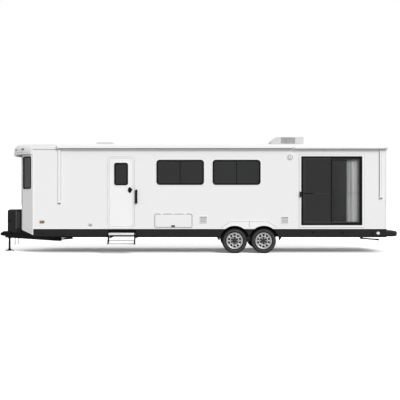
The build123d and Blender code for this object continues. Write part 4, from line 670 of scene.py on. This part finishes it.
def make_entry_door():
    """Rim and surround of the door's window, its panel line and seal, lines round openings, and latches."""
    place = on_wall("door")
    bm = bmesh.new()
    hoop(bm, place, DOOR_WINDOW, 0.06, [(-0.0440, 0.0140), (-0.0430, 0.0280), (-0.0280, 0.0315), (-0.0060, 0.0310),
                                        (0.0008, 0.0270), (0.0008, 0.0175)])
    piece("door_window_rim", bm, "frame_black", "entry_door")
    bm = bmesh.new()
    hoop(bm, place, DOOR_WINDOW, 0.06, [(0.0015, DOOR_FACE), (0.0015, 0.0225), (0.006, 0.0240), (0.026, 0.0225),
                                        (0.031, DOOR_FACE)])
    field = (DOOR[0] + 0.030, DOOR[1] - 0.030, DOOR[2] + 0.030, DOOR[3] - 0.030)
    hoop(bm, place, field, 0.045, [(0.0, DOOR_FACE), (0.001, 0.0196), (0.004, 0.0203), (0.007, 0.0196),
                                   (0.008, DOOR_FACE)])
    piece("door_window_surround", bm, "trim_white", "entry_door")
    bm = bmesh.new()
    hoop(bm, place, DOOR, DOOR_RADIUS, [(0.0016, -0.020), (0.0016, 0.003), (0.0030, 0.0060), (0.0056, 0.0065),
                                        (0.0056, -0.020)])
    piece("door_seal", bm, "frame_black", finish="gasket")
    bm = bmesh.new()
    hoop(bm, place, (3.304, 4.065, 0.685, 2.696), 0.09, [(0.0, 0.0), (0.0005, 0.0045), (0.003, 0.0055), (0.006, 0.003),
                                                         (0.007, 0.0)])
    hoop(bm, place, BAGGAGE, 0.04, [(0.0065, 0.0), (0.0065, 0.004), (0.009, 0.0062), (0.014, 0.0055), (0.017, 0.0)])
    piece("opening_lines", bm, "fitting_grey", finish="seal_and_shade_grey")
    bm = bmesh.new()
    spot = on_wall("door", 3.938, 1.735, 0.030)
    turned(bm, spot, [(0.019, -0.006), (0.019, 0.006), (0.016, 0.010), (0.009, 0.0105), (0.009, 0.008),
                      (0.0015, 0.008)],
           24)
    plate(bm, on_wall("door", 3.940, 1.800), (-0.018, 0.052, -0.012, 0.014), 0.010, 0.024, 0.046, 0.006)
    piece("door_latch_lever", bm, "frame_black", "entry_door")
    bm = bmesh.new()
    spot = on_wall("door", 5.159, 0.748)
    face = WALL_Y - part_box("baggage_door")[0].y
    plate(bm, spot, (-0.050, 0.050, -0.020, 0.022), 0.008, 0.004, face + 0.004, 0.003)
    plate(bm, spot, (-0.038, 0.038, -0.014, 0.008), 0.006, 0.004, face + 0.008, 0.002)
    piece("baggage_latch", bm, "frame_black", "baggage_door")


def make_curtain():
    """Pleated cloth hung from the rail: folds that deepen and wander towards the hem."""
    low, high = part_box("patio_curtain")
    middle = (low.y + high.y) / 2
    pleats, columns, rows = 4.3, 140, 44
    width, height = high.x - low.x, high.z - low.z
    points, flat = [], 0.0
    for j in range(rows + 1):
        drop = j / rows
        swing = 0.0135 + 0.0040 * drop
        row = []
        for i in range(columns + 1):
            part = i / columns
            wander = 0.5 * math.sin(2.1 * drop + 5.0 * part) * drop + 1.1 * math.sin(7.0 * part)
            wave = math.sin(math.tau * pleats * part + wander)
            row.append(Vector((low.x + width * (part + 0.006 * math.sin(11 * part) * drop * (1 - part)),
                               middle + swing * wave, high.z - height * drop)))
        points.append(row)
        flat += sum((b - a).length for a, b in zip(row, row[1:])) / (rows + 1)
    bm = bmesh.new()
    verts = [[bm.verts.new(p) for p in row] for row in points]
    for upper, lower in zip(verts, verts[1:]):
        for i in range(columns):
            bm.faces.new((upper[i], lower[i], lower[i + 1], upper[i + 1]))
    cloth = piece("curtain", bm, "curtain_cloth", replaces=["patio_curtain"], sharp=180)
    thick = cloth.modifiers.new("thickness", "SOLIDIFY")
    thick.thickness = 0.0012


def make_patio():
    """Lock bar and meeting stile of the slider, beads, waist lines, the dark screen behind the fixed pane, partly
    painted shade of the room behind it, and the trim's line.
    """
    place = on_wall("door")
    slider = (PATIO[0] + 0.046, PATIO_MEETING + 0.010, PATIO[2] + 0.046, PATIO[3] - 0.046)
    bm = bmesh.new()
    inner = (slider[0] + 0.048, slider[1] - 0.048, slider[2] + 0.048, slider[3] - 0.048)
    bead = [(-0.0080, 0.0095), (-0.0070, 0.0125), (-0.0010, 0.0140), (0.0, 0.0120), (0.0, 0.0095)]
    hoop(bm, place, inner, 0.004, bead, 2)
    bar(bm, place, (inner[0], PATIO_WAIST), (inner[1], PATIO_WAIST), ridge(0.0028, 0.0035, 0.0086))
    piece("slider_beads", bm, "frame_black", "patio_slider", finish="bead_grey")
    bm = bmesh.new()
    bar(bm, place, (inner[0] - 0.030, LOCK_BAR), (inner[0] + 0.240, LOCK_BAR), ridge(0.013, 0.0130, 0.0086))
    bar(bm, place, (PATIO_MEETING - 0.005, inner[2] - 0.030), (PATIO_MEETING - 0.005, inner[3] + 0.030),
        ridge(0.017, 0.0130, 0.0086))
    piece("slider_lock_bar", bm, "frame_black", "patio_slider", finish="matt_black")
    bm = bmesh.new()
    fixed = (PATIO_MEETING + 0.032, PATIO[1] - 0.090, inner[2], inner[3])
    bead = [(-0.0080, -0.0225), (-0.0070, -0.0195), (-0.0010, -0.0180), (0.0, -0.0200), (0.0, -0.0225)]
    hoop(bm, place, fixed, 0.004, bead, 2)
    bar(bm, place, (fixed[0], PATIO_WAIST), (fixed[1], PATIO_WAIST), ridge(0.0028, 0.0035, -0.0230))
    piece("fixed_pane_beads", bm, "frame_black", finish="bead_grey")
    bm = bmesh.new()
    hoop(bm, place, fixed, 0.004, [(0.002, -0.0150), (0.002, -0.0118), (0.006, -0.0105), (0.034, -0.0105),
                                   (0.038, -0.0150)],
         2)
    piece("fixed_leaf_face", bm, "frame_black", finish="leaf_grey")
    # painted shade: a dark screen behind the fixed pane, partly standing in for the shaded room behind it
    bm = bmesh.new()
    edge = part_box("patio_curtain")[0].x - 0.004
    plate(bm, place, (fixed[0] - 0.020, edge, fixed[2] - 0.020, fixed[3] + 0.020), 0.004, -0.058, -0.054, 0.001)
    for h in (fixed[2] - 0.012, fixed[3] + 0.012):
        bar(bm, place, (fixed[0] - 0.020, h), (edge, h), ridge(0.008, 0.005, -0.0545))
    piece("patio_shade_screen", bm, "frame_black", finish="screen_painted_shade")
    bm = bmesh.new()
    line = [(0.0005, 0.0), (0.0008, 0.0050), (0.0030, 0.0062), (0.0060, 0.0040), (0.0068, 0.0)]
    hoop(bm, place, PATIO_TRIM, 0.008, line, 3)
    piece("patio_trim_line", bm, "fitting_grey", finish="seal_and_shade_grey")


def make_shell_trims():
    """Bright foot strips, corner mouldings, grey roof-edge rails painted as the shadow line under the roof's edge, and
    the rear joint strips.
    """
    bm, rail = bmesh.new(), bmesh.new()
    foot = [(-0.009, 0.0), (-0.009, 0.0050), (-0.005, 0.0075), (0.005, 0.0075), (0.009, 0.0040), (0.009, 0.0)]
    corner = [(-0.013, 0.0), (-0.013, 0.0050), (-0.009, 0.0080), (0.009, 0.0080), (0.013, 0.0050), (0.013, 0.0)]
    for wall, way in SIDES:
        place = on_wall(wall)
        for x0, x1 in ((1.216, 6.468), (8.142, BODY_REAR - 0.001)):
            bar(bm, place, (way * x0, FOOT_STRIP), (way * x1, FOOT_STRIP), foot)
        bar(bm, place, (way * 1.2035, 0.500), (way * 1.2035, 2.896), corner)
        bar(bm, place, (way * (BODY_REAR - 0.014), 0.690), (way * (BODY_REAR - 0.014), 2.900), corner)
        end = 1.900 if wall == "door" else BODY_REAR - 0.002
        # painted shadow: a grey rail under the roof's edge stands in for the shadow line of its overhang
        bar(rail, place, (way * 1.192, 2.911), (way * end, 2.911), ridge(0.0070, 0.0095))
        if wall == "off":
            bar(bm, place, (way * 1.192, 2.975), (way * end, 2.975), ridge(0.0300, 0.0070))
    piece("shell_mouldings", bm, "trim_white")
    piece("roof_edge_shadow_rails", rail, "fitting_grey", finish="seal_and_shade_grey")
    bm = bmesh.new()
    place = on_wall("rear")
    for y in (-0.80, 0.80):
        bar(bm, place, (y, 0.700), (y, 2.940), ridge(0.012, 0.0050))
    bar(bm, place, (-1.205, 2.950), (1.205, 2.950), ridge(0.014, 0.0070))
    for y in (-1.206, 1.206):
        bar(bm, place, (y, 0.690), (y, 2.930), ridge(0.013, 0.0070))
    piece("rear_joint_strips", bm, "trim_white")


BROW_RADIUS, BROW_CENTRE = 1.3722, 1.7812


def make_front():
    """Grey lines round the brow's foot, painted as the shade under its lip, and mouldings on the bay's corners."""
    bm = bmesh.new()
    # painted shade: two grey lines along the foot of the brow stand in for the shade under its lip
    for h, half in ((2.8420, 0.0060), (2.7915, 0.0085)):
        rings = []
        for i in range(61):
            turn = math.radians(180 - 61 + 122 * i / 60)
            rings.append([Vector((BROW_CENTRE + (BROW_RADIUS + off) * math.cos(turn),
                                  (BROW_RADIUS + off) * math.sin(turn),
                                  h + side - DATUM)) for side, off in ridge(half, 0.0060)])
        skin(bm, rings)
    piece("brow_painted_shade_lines", bm, "fitting_grey", finish="louvre_and_shade_grey")
    bm = bmesh.new()
    for way in (-1, 1):
        x, y = BAY_FRONT, way * (OFF_Y - BAY_FACET)
        pipe(bm, [(x, y, 0.640 - DATUM), (x, y, 1.700 - DATUM), (x, y, 2.778 - DATUM)], 0.0135, 12)
    piece("bay_corner_mouldings", bm, "fitting_grey", finish="seal_and_shade_grey")


def make_skirt_details():
    """Rolled lower edge, gussets and service port of the skirts, and the panel over the step."""
    bm = bmesh.new()
    runs = {"door": ((1.216, 3.324), (4.116, 6.390), (8.218, 10.792)), "off": ((1.216, 6.390), (8.218, 10.792))}
    roll = [(-0.005, 0.0), (-0.005, 0.0085), (0.0, 0.0115), (0.013, 0.0095), (0.016, 0.0040), (0.016, 0.0)]
    for wall, way in SIDES:
        place = shift(on_wall(wall), 0, 0, SKIRT_OUT)
        for x0, x1 in runs[wall]:
            first, last = sorted((way * x0, way * x1))
            bar(bm, place, (first, SKIRT_EDGE), (last, SKIRT_EDGE), roll)
        for x in (9.102, 9.933):
            spot = shift(place, way * x, 0.561)
            ring = [(-0.042, 0.034), (0.036, 0.034), (0.036, 0.022), (-0.006, -0.036), (-0.020, -0.036)]
            skin(bm, [[spot @ Vector((way * u, v, off)) for u, v in ring] for off in (0.0, 0.006)])
            bolt(bm, shift(spot, 0.0, 0.016, 0.006), 0.007, 0.007)
        spot = shift(place, way * 1.474, 0.544)
        plate(bm, spot, (-0.034, 0.034, -0.021, 0.021), 0.0205, 0.0, 0.007, 0.004, 8)
        plate(bm, spot, (-0.023, 0.023, -0.012, 0.012), 0.0115, 0.0, 0.011, 0.003, 8)
    piece("skirt_fittings", bm, "chassis_black")
    bm = bmesh.new()
    plate(bm, on_wall("door"), (3.334, 4.106, 0.574, 0.655), 0.006, SKIRT_OUT - 0.001, SKIRT_OUT + 0.003, 0.002)
    piece("step_well_panel", bm, "well_black")


def make_fenders():
    """White arch lips, the beads along the top edge and the joint between the two halves."""
    bm = bmesh.new()
    for wall, way in SIDES:
        for end in ("front", "rear"):
            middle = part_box(f"tyre_{end}_{wall}")
            x = way * (middle[0].x + middle[1].x) / 2
            centre = (middle[0].z + middle[1].z) / 2 + DATUM
            rings = []
            profile = ((0.0006, 0.0), (0.0006, 0.0050), (0.005, 0.0070), (0.030, 0.0055), (0.034, 0.0))
            reach = [math.radians(57 + 66 * i / 40) for i in range(41)]
            place = shift(on_wall(wall), 0, 0, FENDER_OUT)
            for turn in reach:
                rings.append([place @ Vector((x + (ARCH_RADIUS + grow) * math.cos(turn),
                                              centre + (ARCH_RADIUS + grow) * math.sin(turn), off))
                              for grow, off in profile])
            skin(bm, rings)
    piece("fender_lips", bm, "trim_white")
    bm = bmesh.new()
    for wall, way in SIDES:
        place = shift(on_wall(wall), 0, 0, FENDER_OUT)
        middle = way * 7.304
        bar(bm, place, (middle, 0.720), (middle, 0.880), ridge(0.006, 0.0025))
        bar(bm, place, (way * 6.825, FENDER_TOP), (way * 7.768, FENDER_TOP), ridge(0.004, 0.0022))
        for start, foot in (((6.817, 0.884), (6.737, 0.858)), ((6.737, 0.858), (6.506, 0.690)),
                            ((7.776, 0.884), (7.856, 0.858)), ((7.856, 0.858), (8.088, 0.690))):
            bar(bm, place, (way * start[0], start[1]), (way * foot[0], foot[1]), ridge(0.004, 0.0022))
    piece("fender_beads", bm, "fitting_grey", finish="seal_and_shade_grey")


VENTS = [("door", 5.915, 6.110, 0.834, 1.012), ("door", 8.213, 8.405, 0.829, 1.006),
         ("off", 6.050, 6.560, 1.010, 1.330), ("off", 6.050, 6.560, 2.480, 2.700)]
HATCHES = [("door", 2.771, 2.878, 0.750, 0.826), ("off", 3.300, 3.700, 0.760, 1.160),
           ("off", 4.300, 4.480, 0.800, 0.980),
           ("off", 8.600, 8.780, 0.800, 0.980), ("off", 9.300, 10.300, 0.720, 1.080)]


def make_wall_fittings():
    """White frames and hooded slats on the vents, with a grey line under each vent's top painted as the shade of its
    hood; turn-button locks on the hatches.
    """
    frame_bm, slats, locks, lines = bmesh.new(), bmesh.new(), bmesh.new(), bmesh.new()
    for wall, x0, x1, z0, z1 in VENTS:
        place = on_wall(wall, (x0 + x1) / 2)
        half = (x1 - x0) / 2
        hoop(frame_bm, place, (-half, half, z0, z1), 0.008,
             [(0.0004, 0.0), (0.0004, 0.0150), (0.004, 0.0170), (0.012, 0.0140), (0.015, 0.0)], 4)
        # painted shade: a grey line under the vent's top stands in for the shade of its hood
        bar(lines, place, (-half + 0.002, z1 - 0.009), (half - 0.002, z1 - 0.009), ridge(0.009, 0.0030, 0.0138))
        count = 5 if z1 - z0 < 0.25 else 7
        pitch = (z1 - z0 - 0.028) / count
        for i in range(count):
            h = z0 + 0.014 + pitch * (i + 0.82)
            hood = [(-0.004, 0.0125), (-0.009, 0.0175), (-0.007, 0.0185), (0.003, 0.0155), (0.005, 0.0125)]
            bar(slats, place, (-half + 0.013, h), (half - 0.013, h), hood)
    for wall, x0, x1, z0, z1 in HATCHES:
        place = on_wall(wall, (x0 + x1) / 2)
        half = (x1 - x0) / 2
        hoop(frame_bm, place, (-half, half, z0, z1), 0.012,
             [(0.0004, 0.0), (0.0004, 0.0050), (0.003, 0.0065), (0.008, 0.0050), (0.010, 0.0)], 4)
        spots = [0.0] if half < 0.3 else [-half * 0.6, half * 0.6]
        for along in spots:
            spot = shift(place, along, z0 + min(0.045, 0.3 * (z1 - z0)), 0.013)
            turned(locks, spot, [(0.013, 0.0), (0.013, 0.004), (0.010, 0.006), (0.002, 0.006)], 20)
            plate(locks, spot, (-0.009, 0.009, -0.0025, 0.0025), 0.0024, 0.004, 0.010, 0.001)
    wall, x0, x1, z0, z1 = HATCHES[0]
    plate(slats, on_wall(wall), (x0 + 0.004, x1 - 0.004, z0 + 0.004, z1 - 0.004), 0.008, 0.013, 0.0165, 0.002)
    piece("fitting_frames", frame_bm, "trim_white")
    piece("vent_slats", slats, "fitting_grey", finish="louvre_and_shade_grey")
    piece("hatch_locks", locks, "frame_black")
    piece("vent_hood_painted_shade", lines, "fitting_grey", finish="seal_and_shade_grey")


AWNING_BOTTOM, AWNING_TOP = 2.922, 3.046
AWNING_RUNS = [(1.902, 8.544, 0.0), (8.544, BODY_REAR + 0.011, 0.012)]
ARMS = [(1.956, 1.382, 0.0), (BODY_REAR - 0.158, 1.522, 0.012)]


def awning_section(drop, grow):
    """The roller's round front as (off the wall, height) points, moved outwards by grow."""
    middle = (AWNING_BOTTOM + AWNING_TOP) / 2 - drop
    half = (AWNING_TOP - AWNING_BOTTOM) / 2
    points = []
    for i in range(13):
        turn = math.radians(-90 + 15 * i)
        points.append((0.0495 + (0.0605 + grow) * math.cos(turn), middle + (half + grow) * math.sin(turn)))
    return points


def make_awning():
    """End caps, fascia with a dark strip under it painted as the shadow line below the case, and the arms' joints,
    edges and feet, with grey lines beside the arms painted as their shadows on the wall.
    """
    cap_bm, dark, lines = bmesh.new(), bmesh.new(), bmesh.new()
    place = on_wall("door")
    for x0, x1, drop in AWNING_RUNS:
        for at, way in ((x0, -1), (x1, 1)):
            rings = []
            for grow, along in ((0.0035, -way * 0.034), (0.0035, 0.0), (0.001, way * 0.003)):
                points = [(0.0, AWNING_BOTTOM - drop - grow)] + awning_section(drop, grow)
                points.append((0.0, AWNING_TOP - drop + grow))
                rings.append([place @ Vector((at + along, h, off)) for off, h in points])
            skin(cap_bm, rings)
        fascia = [(-0.050, 0.0400), (-0.050, 0.1060), (-0.044, 0.1115), (0.044, 0.1115), (0.052, 0.1070),
                  (0.058, 0.0560),
                  (0.058, 0.0400)]
        h = (AWNING_BOTTOM + AWNING_TOP) / 2 - drop
        bar(cap_bm, place, (x0 + 0.034, h), (x1 - 0.034, h), fascia)
        # painted shadow: a dark strip under the fascia stands in for the shadow line below the awning's case
        line = [(-0.0055, 0.0300), (-0.0055, 0.0990), (0.0, 0.1045), (0.0055, 0.1045), (0.0055, 0.0300)]
        bar(dark, place, (x0 + 0.034, h - 0.0555), (x1 - 0.034, h - 0.0555), line)
    for x, foot, drop in ARMS:
        shoe = (-0.0400, 0.0400, foot + 0.002, foot + 0.024)
        plate(dark, shift(place, x, 0.0), shoe, 0.010, 0.0, 0.0525, 0.005)
        for h in (foot + 0.075, (foot + AWNING_BOTTOM) / 2, AWNING_BOTTOM - 0.060):
            spot = shift(place, x, h, 0.032)
            turned(cap_bm, spot, [(0.0145, 0.0), (0.0145, 0.0075), (0.012, 0.0095), (0.003, 0.0100)], 20)
        for side in (-0.0295, 0.0295):
            bar(cap_bm, shift(place, x + side, 0.0), (0, foot + 0.064), (0, AWNING_BOTTOM - drop - 0.001),
                ridge(0.0060, 0.0030, 0.0395))
        # painted shadow: grey lines beside each arm, wider on its left, stand in for the arm's shadow on the wall
        for side, half in ((-0.0445, 0.0065), (0.0425, 0.0045)):
            bar(lines, shift(place, x + side, 0.0), (0, foot + 0.064), (0, AWNING_BOTTOM - drop - 0.001),
                ridge(half, 0.0060))
    piece("awning_caps", cap_bm, "awning_white")
    piece("awning_arm_painted_shadows", lines, "fitting_grey", finish="louvre_and_shade_grey")
    piece("awning_feet_and_painted_shadow", dark, "frame_black", finish="gasket")


def make_lamps():
    """White ring and grey middle of the porch lamp, and dark bases round the lenses."""
    spot = on_wall("door", BODY_REAR - 2.710, 2.696)
    bm = bmesh.new()
    turned(bm, spot, [(0.0795, 0.0), (0.0795, 0.008), (0.084, 0.011), (0.090, 0.009), (0.092, 0.0)], 40, loop=True)
    piece("porch_lamp_ring", bm, "trim_white")
    bm = bmesh.new()
    turned(bm, spot, [(0.050, 0.0295), (0.050, 0.0330), (0.053, 0.0345), (0.058, 0.0330), (0.060, 0.0295)], 40,
           loop=True)
    turned(bm, spot, [(0.014, 0.0298), (0.014, 0.0360), (0.010, 0.0385), (0.002, 0.0385)], 24)
    piece("porch_lamp_middle", bm, "fitting_grey", finish="seal_and_shade_grey")
    bm = bmesh.new()
    for wall in ("door", "off"):
        place = on_wall(wall, 1.458, 0.863)
        hoop(bm, place, (-0.061, 0.061, -0.031, 0.031), 0.016,
             [(0.0008, 0.0), (0.0008, 0.0090), (0.003, 0.0110), (0.006, 0.0090), (0.008, 0.0)], 3)
    place = on_wall("rear")
    h, width, height = 1.060, 0.130, 0.240
    for y in (-1.080, 1.080):
        box = (y - width / 2, y + width / 2, h - height / 2, h + height / 2)
        hoop(bm, place, box, 0.020, [(0.001, 0.0), (0.001, 0.0100), (0.004, 0.0130), (0.009, 0.0100), (0.011, 0.0)], 3)
    piece("lamp_bases", bm, "frame_black")


def make_tongue():
    """Crown and ports of the gas cover, with paler beads on its corners painted as highlights and paler fields on its
    sides painted as light, the jack's bands and collars, coupler bolts.
    """
    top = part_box("gas_bottle_cover")[1].z + DATUM
    deck = facing_up((0, 0, -DATUM))
    bm = bmesh.new()
    plate(bm, deck, (0.372, 0.560, -0.115, 0.115), 0.050, top - 0.012, top - 0.0005, 0.006, 6)
    for x in (0.425, 0.505):
        bar(bm, deck, (x, -0.085), (x, 0.085), ridge(0.010, 0.004, top - 0.0045))
    piece("gas_cover_seams", bm, "gas_cover_grey")
    bm = bmesh.new()
    port = bmesh.new()
    for way in (-1, 1):
        corner = [Vector((0.507, way * 0.3225, h - DATUM)) for h in (0.640, 0.80, 1.0, 1.135)]
        corner.append(Vector((0.500, way * 0.285, 1.185 - DATUM)))
        pipe(bm, corner, 0.014, 12)
        slope = place_on((-way * 0.313, -0.16, 0), (0, 0, 1), (0.2, way * 0.17, -DATUM))
        spot = shift(slope, -way * 0.075, 0.873)
        turned(port, spot, [(0.052, -0.020), (0.052, 0.006), (0.047, 0.012), (0.036, 0.012), (0.033, 0.004),
                            (0.004, 0.004)],
               32)
    # painted highlight: the corner beads are paler than the cover
    piece("gas_cover_corner_painted_highlights", bm, "gas_cover_grey", finish="gas_cover_painted_highlight")
    bm = bmesh.new()
    for way in (-1, 1):
        face = facing(way, way * 0.330)
        ends = sorted((-way * 0.532, -way * 0.622))
        plate(bm, face, (ends[0], ends[1], 0.665, 1.135), 0.020, -0.002, 0.004, 0.003)
    # painted light: the side fields are paler than the cover, as its lit side
    piece("gas_cover_side_painted_light", bm, "gas_cover_grey", finish="gas_cover_painted_light")
    piece("gas_cover_ports", port, "jack_black")
    middle = (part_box("jack_leg")[0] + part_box("jack_leg")[1]) / 2
    bm = bmesh.new()
    upright = facing_up((middle.x, middle.y, -DATUM))
    for h in (0.395, 0.470, 0.640):
        turned(bm, upright, [(0.0362, h), (0.0395, h + 0.003), (0.0395, h + 0.013), (0.0362, h + 0.016)], 32, loop=True)
    piece("jack_bands", bm, "jack_black")
    bm = bmesh.new()
    leg = facing_up((middle.x, middle.y, GROUND))
    turned(bm, leg, [(0.0282, 0.0600), (0.0330, 0.0615), (0.0330, 0.0705), (0.0282, 0.0725)], 28, loop=True)
    turned(bm, leg, [(0.112, 0.0125), (0.118, 0.0140), (0.126, 0.0110), (0.1325, 0.0060), (0.1325, 0.0010),
                     (0.112, 0.0010)], 40, loop=True)
    piece("jack_leg_collars", bm, "jack_black", "jack_leg", finish="matt_black")
    low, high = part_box("coupler")
    bm = bmesh.new()
    for way in (-1, 1):
        face = facing(way, high.y if way > 0 else low.y)
        for x in (0.215, 0.285):
            bolt(bm, shift(face, -way * x, 0.490), 0.010, 0.009)
    piece("coupler_bolts", bm, "jack_black")


def make_step():
    """Grip ribs, and bolts on the side plates."""
    low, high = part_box("entry_step_treads")
    frame_low, frame_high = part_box("entry_step_frame")
    deck = facing_up((0, 0, 0))
    bm = bmesh.new()
    for front, level in ((low.y, 0.270 - DATUM), (WALL_Y - 0.020, 0.562 - DATUM)):
        for i in range(8):
            y = front + 0.014 + 0.0235 * i
            bar(bm, deck, (low.x + 0.020, y), (high.x - 0.020, y), ridge(0.0048, 0.0032, level - 0.0002))
    piece("step_grip_ribs", bm, "tread_aluminium", "entry_step")
    bm = bmesh.new()
    for side, x in ((-1, frame_low.x), (1, frame_high.x)):
        face = place_on((0, side, 0), (0, 0, 1), (x, 0, -DATUM))
        for y, h in ((WALL_Y - 0.263, 0.350), (WALL_Y - 0.125, 0.533)):
            bolt(bm, shift(face, side * y, h, -0.0005), 0.0085, 0.0085)
    piece("step_bolts", bm, "zinc_steel", "entry_step")


ROOF_CROWN = 3.094
AC_SEAM, AC_FOOT_SCREWS = 3.128, 3.112
AC = (7.998, 8.962, -0.350, 0.350)


def make_roof():
    """Gasket, seams and screws of the air conditioner, sealant round the hatch, and ribs on its lid."""
    place = facing_up((0, 0, -DATUM))
    bm = bmesh.new()
    hoop(bm, place, AC, 0.004, [(0.0005, ROOF_CROWN - 0.012), (0.0005, ROOF_CROWN + 0.010), (0.012, ROOF_CROWN + 0.006),
                                (0.014, ROOF_CROWN - 0.012)], 2)
    piece("air_conditioner_gasket", bm, "fitting_grey", finish="seal_and_shade_grey")
    bm = bmesh.new()
    for way in (-1, 1):
        face = facing(way, way * AC[3])
        bar(bm, face, (-way * (AC[0] + 0.004), AC_SEAM), (-way * (AC[1] - 0.004), AC_SEAM), ridge(0.0040, 0.0028))
        bar(bm, face, (-way * 8.742, 3.136), (-way * 8.742, 3.316), ridge(0.0035, 0.0024))
        hoop(bm, face, (min(-way * 8.297, -way * 8.707), max(-way * 8.297, -way * 8.707), 3.144, 3.320), 0.006,
             [(0.0005, 0.0), (0.0005, 0.0035), (0.004, 0.0045), (0.009, 0.0030), (0.011, 0.0)], 3)
        for x in (8.080, 8.240, 8.790, 8.920):
            spot = shift(face, -way * x, AC_FOOT_SCREWS)
            turned(bm, spot, [(0.008, 0.0), (0.008, 0.0025), (0.005, 0.0040), (0.0015, 0.0042)], 14)
    piece("air_conditioner_seams", bm, "roof_white", finish="air_conditioner")
    low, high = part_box("roof_vent_base")
    bm = bmesh.new()
    hoop(bm, place, (low.x, high.x, low.y, high.y), 0.010,
         [(0.0005, ROOF_CROWN - 0.010), (0.0005, ROOF_CROWN + 0.007), (0.010, ROOF_CROWN + 0.006),
          (0.026, ROOF_CROWN + 0.001), (0.028, ROOF_CROWN - 0.010)], 4)
    piece("hatch_sealant", bm, "roof_white", finish="sealant")
    low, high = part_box("roof_vent_lid")
    bm = bmesh.new()
    top = high.z + DATUM
    middle_y = (low.y + high.y) / 2
    for k in range(5):
        x = low.x + 0.085 + (high.x - low.x - 0.17) * k / 4
        bar(bm, place, (x, middle_y - 0.150), (x, middle_y + 0.150), ridge(0.009, 0.0045, top - 0.0055))
    piece("hatch_lid_ribs", bm, "roof_white", "roof_vent_lid", finish="hatch_lid")


def make_running_gear():
    """U-bolts over the axles, with their nuts."""
    bm, nuts = bmesh.new(), bmesh.new()
    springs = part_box("leaf_springs")
    half = 0.0285
    for end in ("front", "rear"):
        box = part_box(f"tyre_{end}_door")
        x, z = (box[0].x + box[1].x) / 2, (box[0].z + box[1].z) / 2
        for y in (springs[0].y + 0.0225, springs[1].y - 0.0225):
            for along in (-0.047, 0.047):
                route = [(x + along, y - half, z + 0.100), (x + along, y - half, z - 0.030)]
                for i in range(9):
                    turn = math.pi + math.pi * i / 8
                    route.append((x + along, y + half * math.cos(turn), z - 0.030 + half * 0.55 * math.sin(turn)))
                route += [(x + along, y + half, z - 0.030), (x + along, y + half, z + 0.100)]
                pipe(bm, route, 0.006, 8)
                for side in (-half, half):
                    bolt(nuts, facing_up((x + along, y + side, z + 0.088)), 0.010, 0.010)
    piece("axle_u_bolts", bm, "spring_steel")
    piece("axle_nuts", nuts, "zinc_steel")


def make_bumper():
    """Rubbing line and two cap screws on the bumper."""
    bm = bmesh.new()
    place = place_on((0, 1, 0), (0, 0, 1), (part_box("rear_bumper")[1].x, 0, -DATUM))
    bar(bm, place, (-0.60, 0.530), (0.60, 0.530), ridge(0.018, 0.0025, -0.004))
    for y in (-0.45, 0.45):
        turned(bm, shift(place, y, 0.575, -0.003), [(0.012, 0.0), (0.012, 0.0020), (0.006, 0.0028)], 16)
    piece("bumper_rubbing_line", bm, "frame_black", finish="gasket")


# Stage

def ray_is(tree, kinds):
    """1 for rays of the named kinds, else 0."""
    path = tree.nodes.new("ShaderNodeLightPath")
    total = path.outputs[kinds[0]]
    for kind in kinds[1:]:
        total = calculate(tree, "MAXIMUM", total, path.outputs[kind])
    return total


def make_world():
    """Even sky that is white where it is seen, mirrored or looked at through glass."""
    world = bpy.data.worlds.new("studio")
    bpy.context.scene.world = world
    world.use_nodes = True
    tree = world.node_tree
    background = tree.nodes["Background"]
    background.inputs["Color"].default_value = grey(1.0)
    seen = ray_is(tree, ["Is Camera Ray", "Is Glossy Ray", "Is Transmission Ray"])
    strength = add(tree, "ShaderNodeMapRange", From_Min=0.0, From_Max=1.0, To_Min=SKY_STRENGTH, To_Max=1.0)
    put(strength, Value=seen)
    put(background, Strength=strength.outputs["Result"])


def make_floor():
    """Pale floor that keeps the caravan's shadow."""
    half = FLOOR_SIZE / 2
    mesh = bpy.data.meshes.new("floor_plane")
    corners = [(-half, -half), (half, -half), (half, half), (-half, half)]
    mesh.from_pydata([(x, y, GROUND) for x, y in corners], [], [(0, 1, 2, 3)])
    obj = bpy.data.objects.new("studio_floor", mesh)
    bpy.context.scene.collection.objects.link(obj)
    mat, tree, shader = new_material("studio_floor")
    put(shader, Roughness=1.0, Specular_IOR_Level=0.0, Emission_Color=grey(1.0))
    seen = ray_is(tree, ["Is Camera Ray", "Is Glossy Ray", "Is Transmission Ray"])
    shown = mixed(tree, ray_is(tree, ["Is Camera Ray"]), grey(FLOOR_MIRRORED), grey(FLOOR_SEEN))
    put(shader, Base_Color=mixed(tree, seen, grey(FLOOR_BOUNCE), shown))
    glow = add(tree, "ShaderNodeMapRange", From_Min=0.0, From_Max=1.0, To_Min=0.0, To_Max=FLOOR_GLOW)
    put(glow, Value=seen)
    put(shader, Emission_Strength=glow.outputs["Result"])
    mesh.materials.append(mat)


def make_lights():
    sun = bpy.data.lights.new("key", "SUN")
    sun.energy = KEY_STRENGTH
    sun.angle = KEY_SOFTNESS
    obj = bpy.data.objects.new("key", sun)
    obj.rotation_euler = Vector(KEY_FROM).to_track_quat("Z", "Y").to_euler()
    bpy.context.scene.collection.objects.link(obj)


def make_camera():
    data = bpy.data.cameras.new("camera")
    data.lens = CAMERA_LENS
    data.sensor_width = SENSOR
    data.clip_end = 2 * FLOOR_SIZE
    obj = bpy.data.objects.new("camera", data)
    obj.location = CAMERA_PLACE
    obj.rotation_euler = (math.radians(90), 0, 0)
    bpy.context.scene.collection.objects.link(obj)
    bpy.context.scene.camera = obj


bpy.context.scene.view_settings.view_transform = "Standard"
MATERIALS = make_materials()
dress_nodes(MATERIALS)
for END, SIDE in WHEELS:
    make_tyre(END, SIDE)
    make_wheel_details(END, SIDE)
make_windows()
make_entry_door()
make_curtain()
make_patio()
make_shell_trims()
make_front()
make_skirt_details()
make_fenders()
make_wall_fittings()
make_awning()
make_lamps()
make_tongue()
make_step()
make_roof()
make_running_gear()
make_bumper()
make_world()
make_floor()
make_lights()
make_camera()
